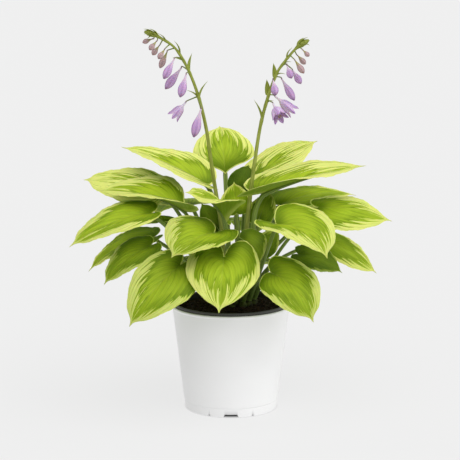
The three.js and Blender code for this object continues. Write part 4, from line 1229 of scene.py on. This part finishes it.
def inner_pot():
    lip_out = POT_TOP_RADIUS - POT_WALL - LINER_GAP
    profile = [
        (0, LINER_FLOOR),
        (liner_radius(LINER_FLOOR), LINER_FLOOR),
        (lip_out, POT_HEIGHT),
        (lip_out, LIP_TOP),
        (lip_out - LIP_WIDTH, LIP_TOP),
        (lip_out - LIP_WIDTH, LIP_TOP - LIP_WIDTH),
        (liner_radius(SOIL_EDGE_HEIGHT) - LINER_WALL, SOIL_EDGE_HEIGHT - 1),
        (liner_radius(LINER_FLOOR) - LINER_WALL, LINER_FLOOR + LINER_WALL),
        (0, LINER_FLOOR + LINER_WALL),
    ]
    shape = Shape()
    turned(shape, softened(profile, LIP_BEVEL))
    shape.piece("inner_pot", [BLACK_PLASTIC])


def soil_height(radius):
    """The mound's height at a distance from its middle."""
    border = liner_radius(SOIL_EDGE_HEIGHT) - LINER_WALL
    distances = [0, CROWN_RADIUS - 4, CROWN_RADIUS + 16, border - 8, border]
    middle, edge = SOIL_MIDDLE_HEIGHT, SOIL_EDGE_HEIGHT
    return np.interp(radius, distances, [middle, middle, middle - 1.5, edge + 1, edge - 1.5])


def swung(points, first, second, angle):
    """Points turned by an angle in the plane of two of their axes."""
    made = points.copy()
    made[:, first] = points[:, first] * math.cos(angle) - points[:, second] * math.sin(angle)
    made[:, second] = points[:, first] * math.sin(angle) + points[:, second] * math.cos(angle)
    return made


def soil(dice):
    """A lumpy mound, with chips of bark lying on it."""
    border = liner_radius(SOIL_EDGE_HEIGHT) - LINER_WALL - TOUCHING_GAP
    bottom = LINER_FLOOR + LINER_WALL + TOUCHING_GAP
    angles = angles_round(SOIL_SIDES)
    rings = [ring(liner_radius(bottom) - LINER_WALL - TOUCHING_GAP, bottom, SOIL_SIDES)]
    for radius in np.linspace(border, 2, SOIL_RINGS):
        lumps = sum(np.sin(radius * a + angles * b + c) * d for a, b, c, d in SOIL_WAVES)
        grains = dice.uniform(-SOIL_GRAIN, SOIL_GRAIN, SOIL_SIDES)
        calm = min(1.0, (border - radius) / SOIL_CALM_WIDTH + LEAST_LUMPS)
        rings.append(ring(radius, soil_height(radius) + (lumps + grains) * calm, SOIL_SIDES))
    shape = Shape()
    shape.add_rings(rings, (0, 0, bottom), (0, 0, SOIL_MIDDLE_HEIGHT), 0, seed=0.5)
    nearest, farthest = CROWN_RADIUS - CHIPS_UNDER_CROWN, border - CHIP_MARGIN
    for _ in range(CHIPS):
        radius = math.sqrt(dice.uniform(nearest**2, farthest**2))
        turn = dice.uniform(0, 2 * math.pi)
        size = np.array([dice.uniform(*sizes) for sizes in CHIP_SIZES])
        chip = CHIP_CORNERS * size * dice.uniform(*CHIP_RAGGEDNESS, (8, 3))
        spin, tip = dice.uniform(0, 2 * math.pi), dice.uniform(-CHIP_TILT, CHIP_TILT)
        chip = swung(swung(chip, 0, 2, tip), 0, 1, spin)
        height = soil_height(radius) + CHIP_LIFT
        centre = np.array([radius * math.cos(turn), radius * math.sin(turn), height])
        shape.add(chip + centre, CHIP_FACES, 0, sharp=range(8), seed=dice.uniform(0.1, 1.1))
    shape.piece("soil", [POTTING_SOIL])


def crown(dice):
    """The clump that the stalks grow from: a knobbly dome with a sheath round each stalk's foot."""
    profile = list(CLUMP_FOOT)
    for turn in np.linspace(0, 1, CLUMP_RINGS) * math.pi / 2:
        height = CLUMP_SHOULDER + CLUMP_DOME * math.sin(turn)
        profile.append((max(CLUMP_RADIUS * math.cos(turn), CLUMP_TIP), height))
    angles = angles_round(CLUMP_SIDES)
    middle = np.array([CROWN_OFFSET, 0, 0])
    rings = []
    for radius, height in profile:
        knobs = np.sin(angles * KNOBS_ROUND + radius) * KNOB_HEIGHT
        knobs = knobs + dice.uniform(-KNOB_HEIGHT, KNOB_HEIGHT, CLUMP_SIDES)
        calm = min(1.0, radius / KNOB_FADE) if height >= CLUMP_SHOULDER else 0.0
        rings.append(middle + ring(radius, height + knobs * calm, CLUMP_SIDES))
    shape = Shape()
    top = CLUMP_SHOULDER + CLUMP_DOME
    shape.add_rings(rings, middle + (0, 0, CLUMP_BOTTOM), middle + (0, 0, top), 0)
    for growth in LEAVES + SCAPES:
        line = root_of(growth) + np.array([(0, 0, height) for height in SHEATH_HEIGHTS], float)
        radii = SHEATH_SHARES * growth.get("stalk", SCAPE_FOOT)
        tube(shape, line, radii, SHEATH_SIDES, 0, up=(1, 0, 0))
    shape.piece("crown", [CROWN_FIBRE])


# Studio

CAMERA_PLACE = (-0.0014, -2.2448, 0.6439)
CAMERA_PITCH = 9.9
CAMERA_LENS = 128.0
CAMERA_REACH = 0.05, 200.0
SENSOR = 36.0
SURROUND_STRENGTH = 0.46
FLOOR_CORNERS = [(-60.0, -60.0, 0), (60.0, -60.0, 0), (60.0, 60.0, 0), (-60.0, 60.0, 0)]

# Each light's name, strength, width in degrees, and degrees to the viewer's right and above the floor.
LIGHTS = (("key_light", 1.65, 70, (10, 60)), ("fill_light", 0.9, 80, (80, 28)))


def studio():
    mesh = bpy.data.meshes.new("floor")
    mesh.from_pydata(FLOOR_CORNERS, [], [(0, 1, 2, 3)])
    mesh.materials.append(pale_floor())
    added("floor", mesh)
    world = bpy.data.worlds.new("studio")
    world.use_nodes = True
    surround = world.node_tree.nodes["Background"]
    surround.inputs["Color"].default_value = WHITE
    surround.inputs["Strength"].default_value = SURROUND_STRENGTH
    bpy.context.scene.world = world
    for light in LIGHTS:
        soft_light(*light)
    camera = bpy.data.cameras.new("camera")
    camera.lens = CAMERA_LENS
    camera.sensor_width = SENSOR
    camera.clip_start, camera.clip_end = CAMERA_REACH
    seen = added("camera", camera)
    seen.location = CAMERA_PLACE
    seen.rotation_euler = (math.radians(90 - CAMERA_PITCH), 0, 0)
    bpy.context.scene.camera = seen
    bpy.context.scene.view_settings.view_transform = "Standard"


def soft_light(name, strength, width, towards):
    """A sun light with a broad disc, so that its shadows are soft."""
    light = bpy.data.lights.new(name, "SUN")
    light.energy = strength
    light.angle = math.radians(width)
    azimuth, elevation = towards
    source = Vector(direction(azimuth - 90, elevation))
    added(name, light).rotation_euler = source.to_track_quat("Z", "Y").to_euler()


DICE = np.random.default_rng(7)
outer_pot()
inner_pot()
soil(DICE)
crown(DICE)
grow_leaves()
grow_flowers()
studio()
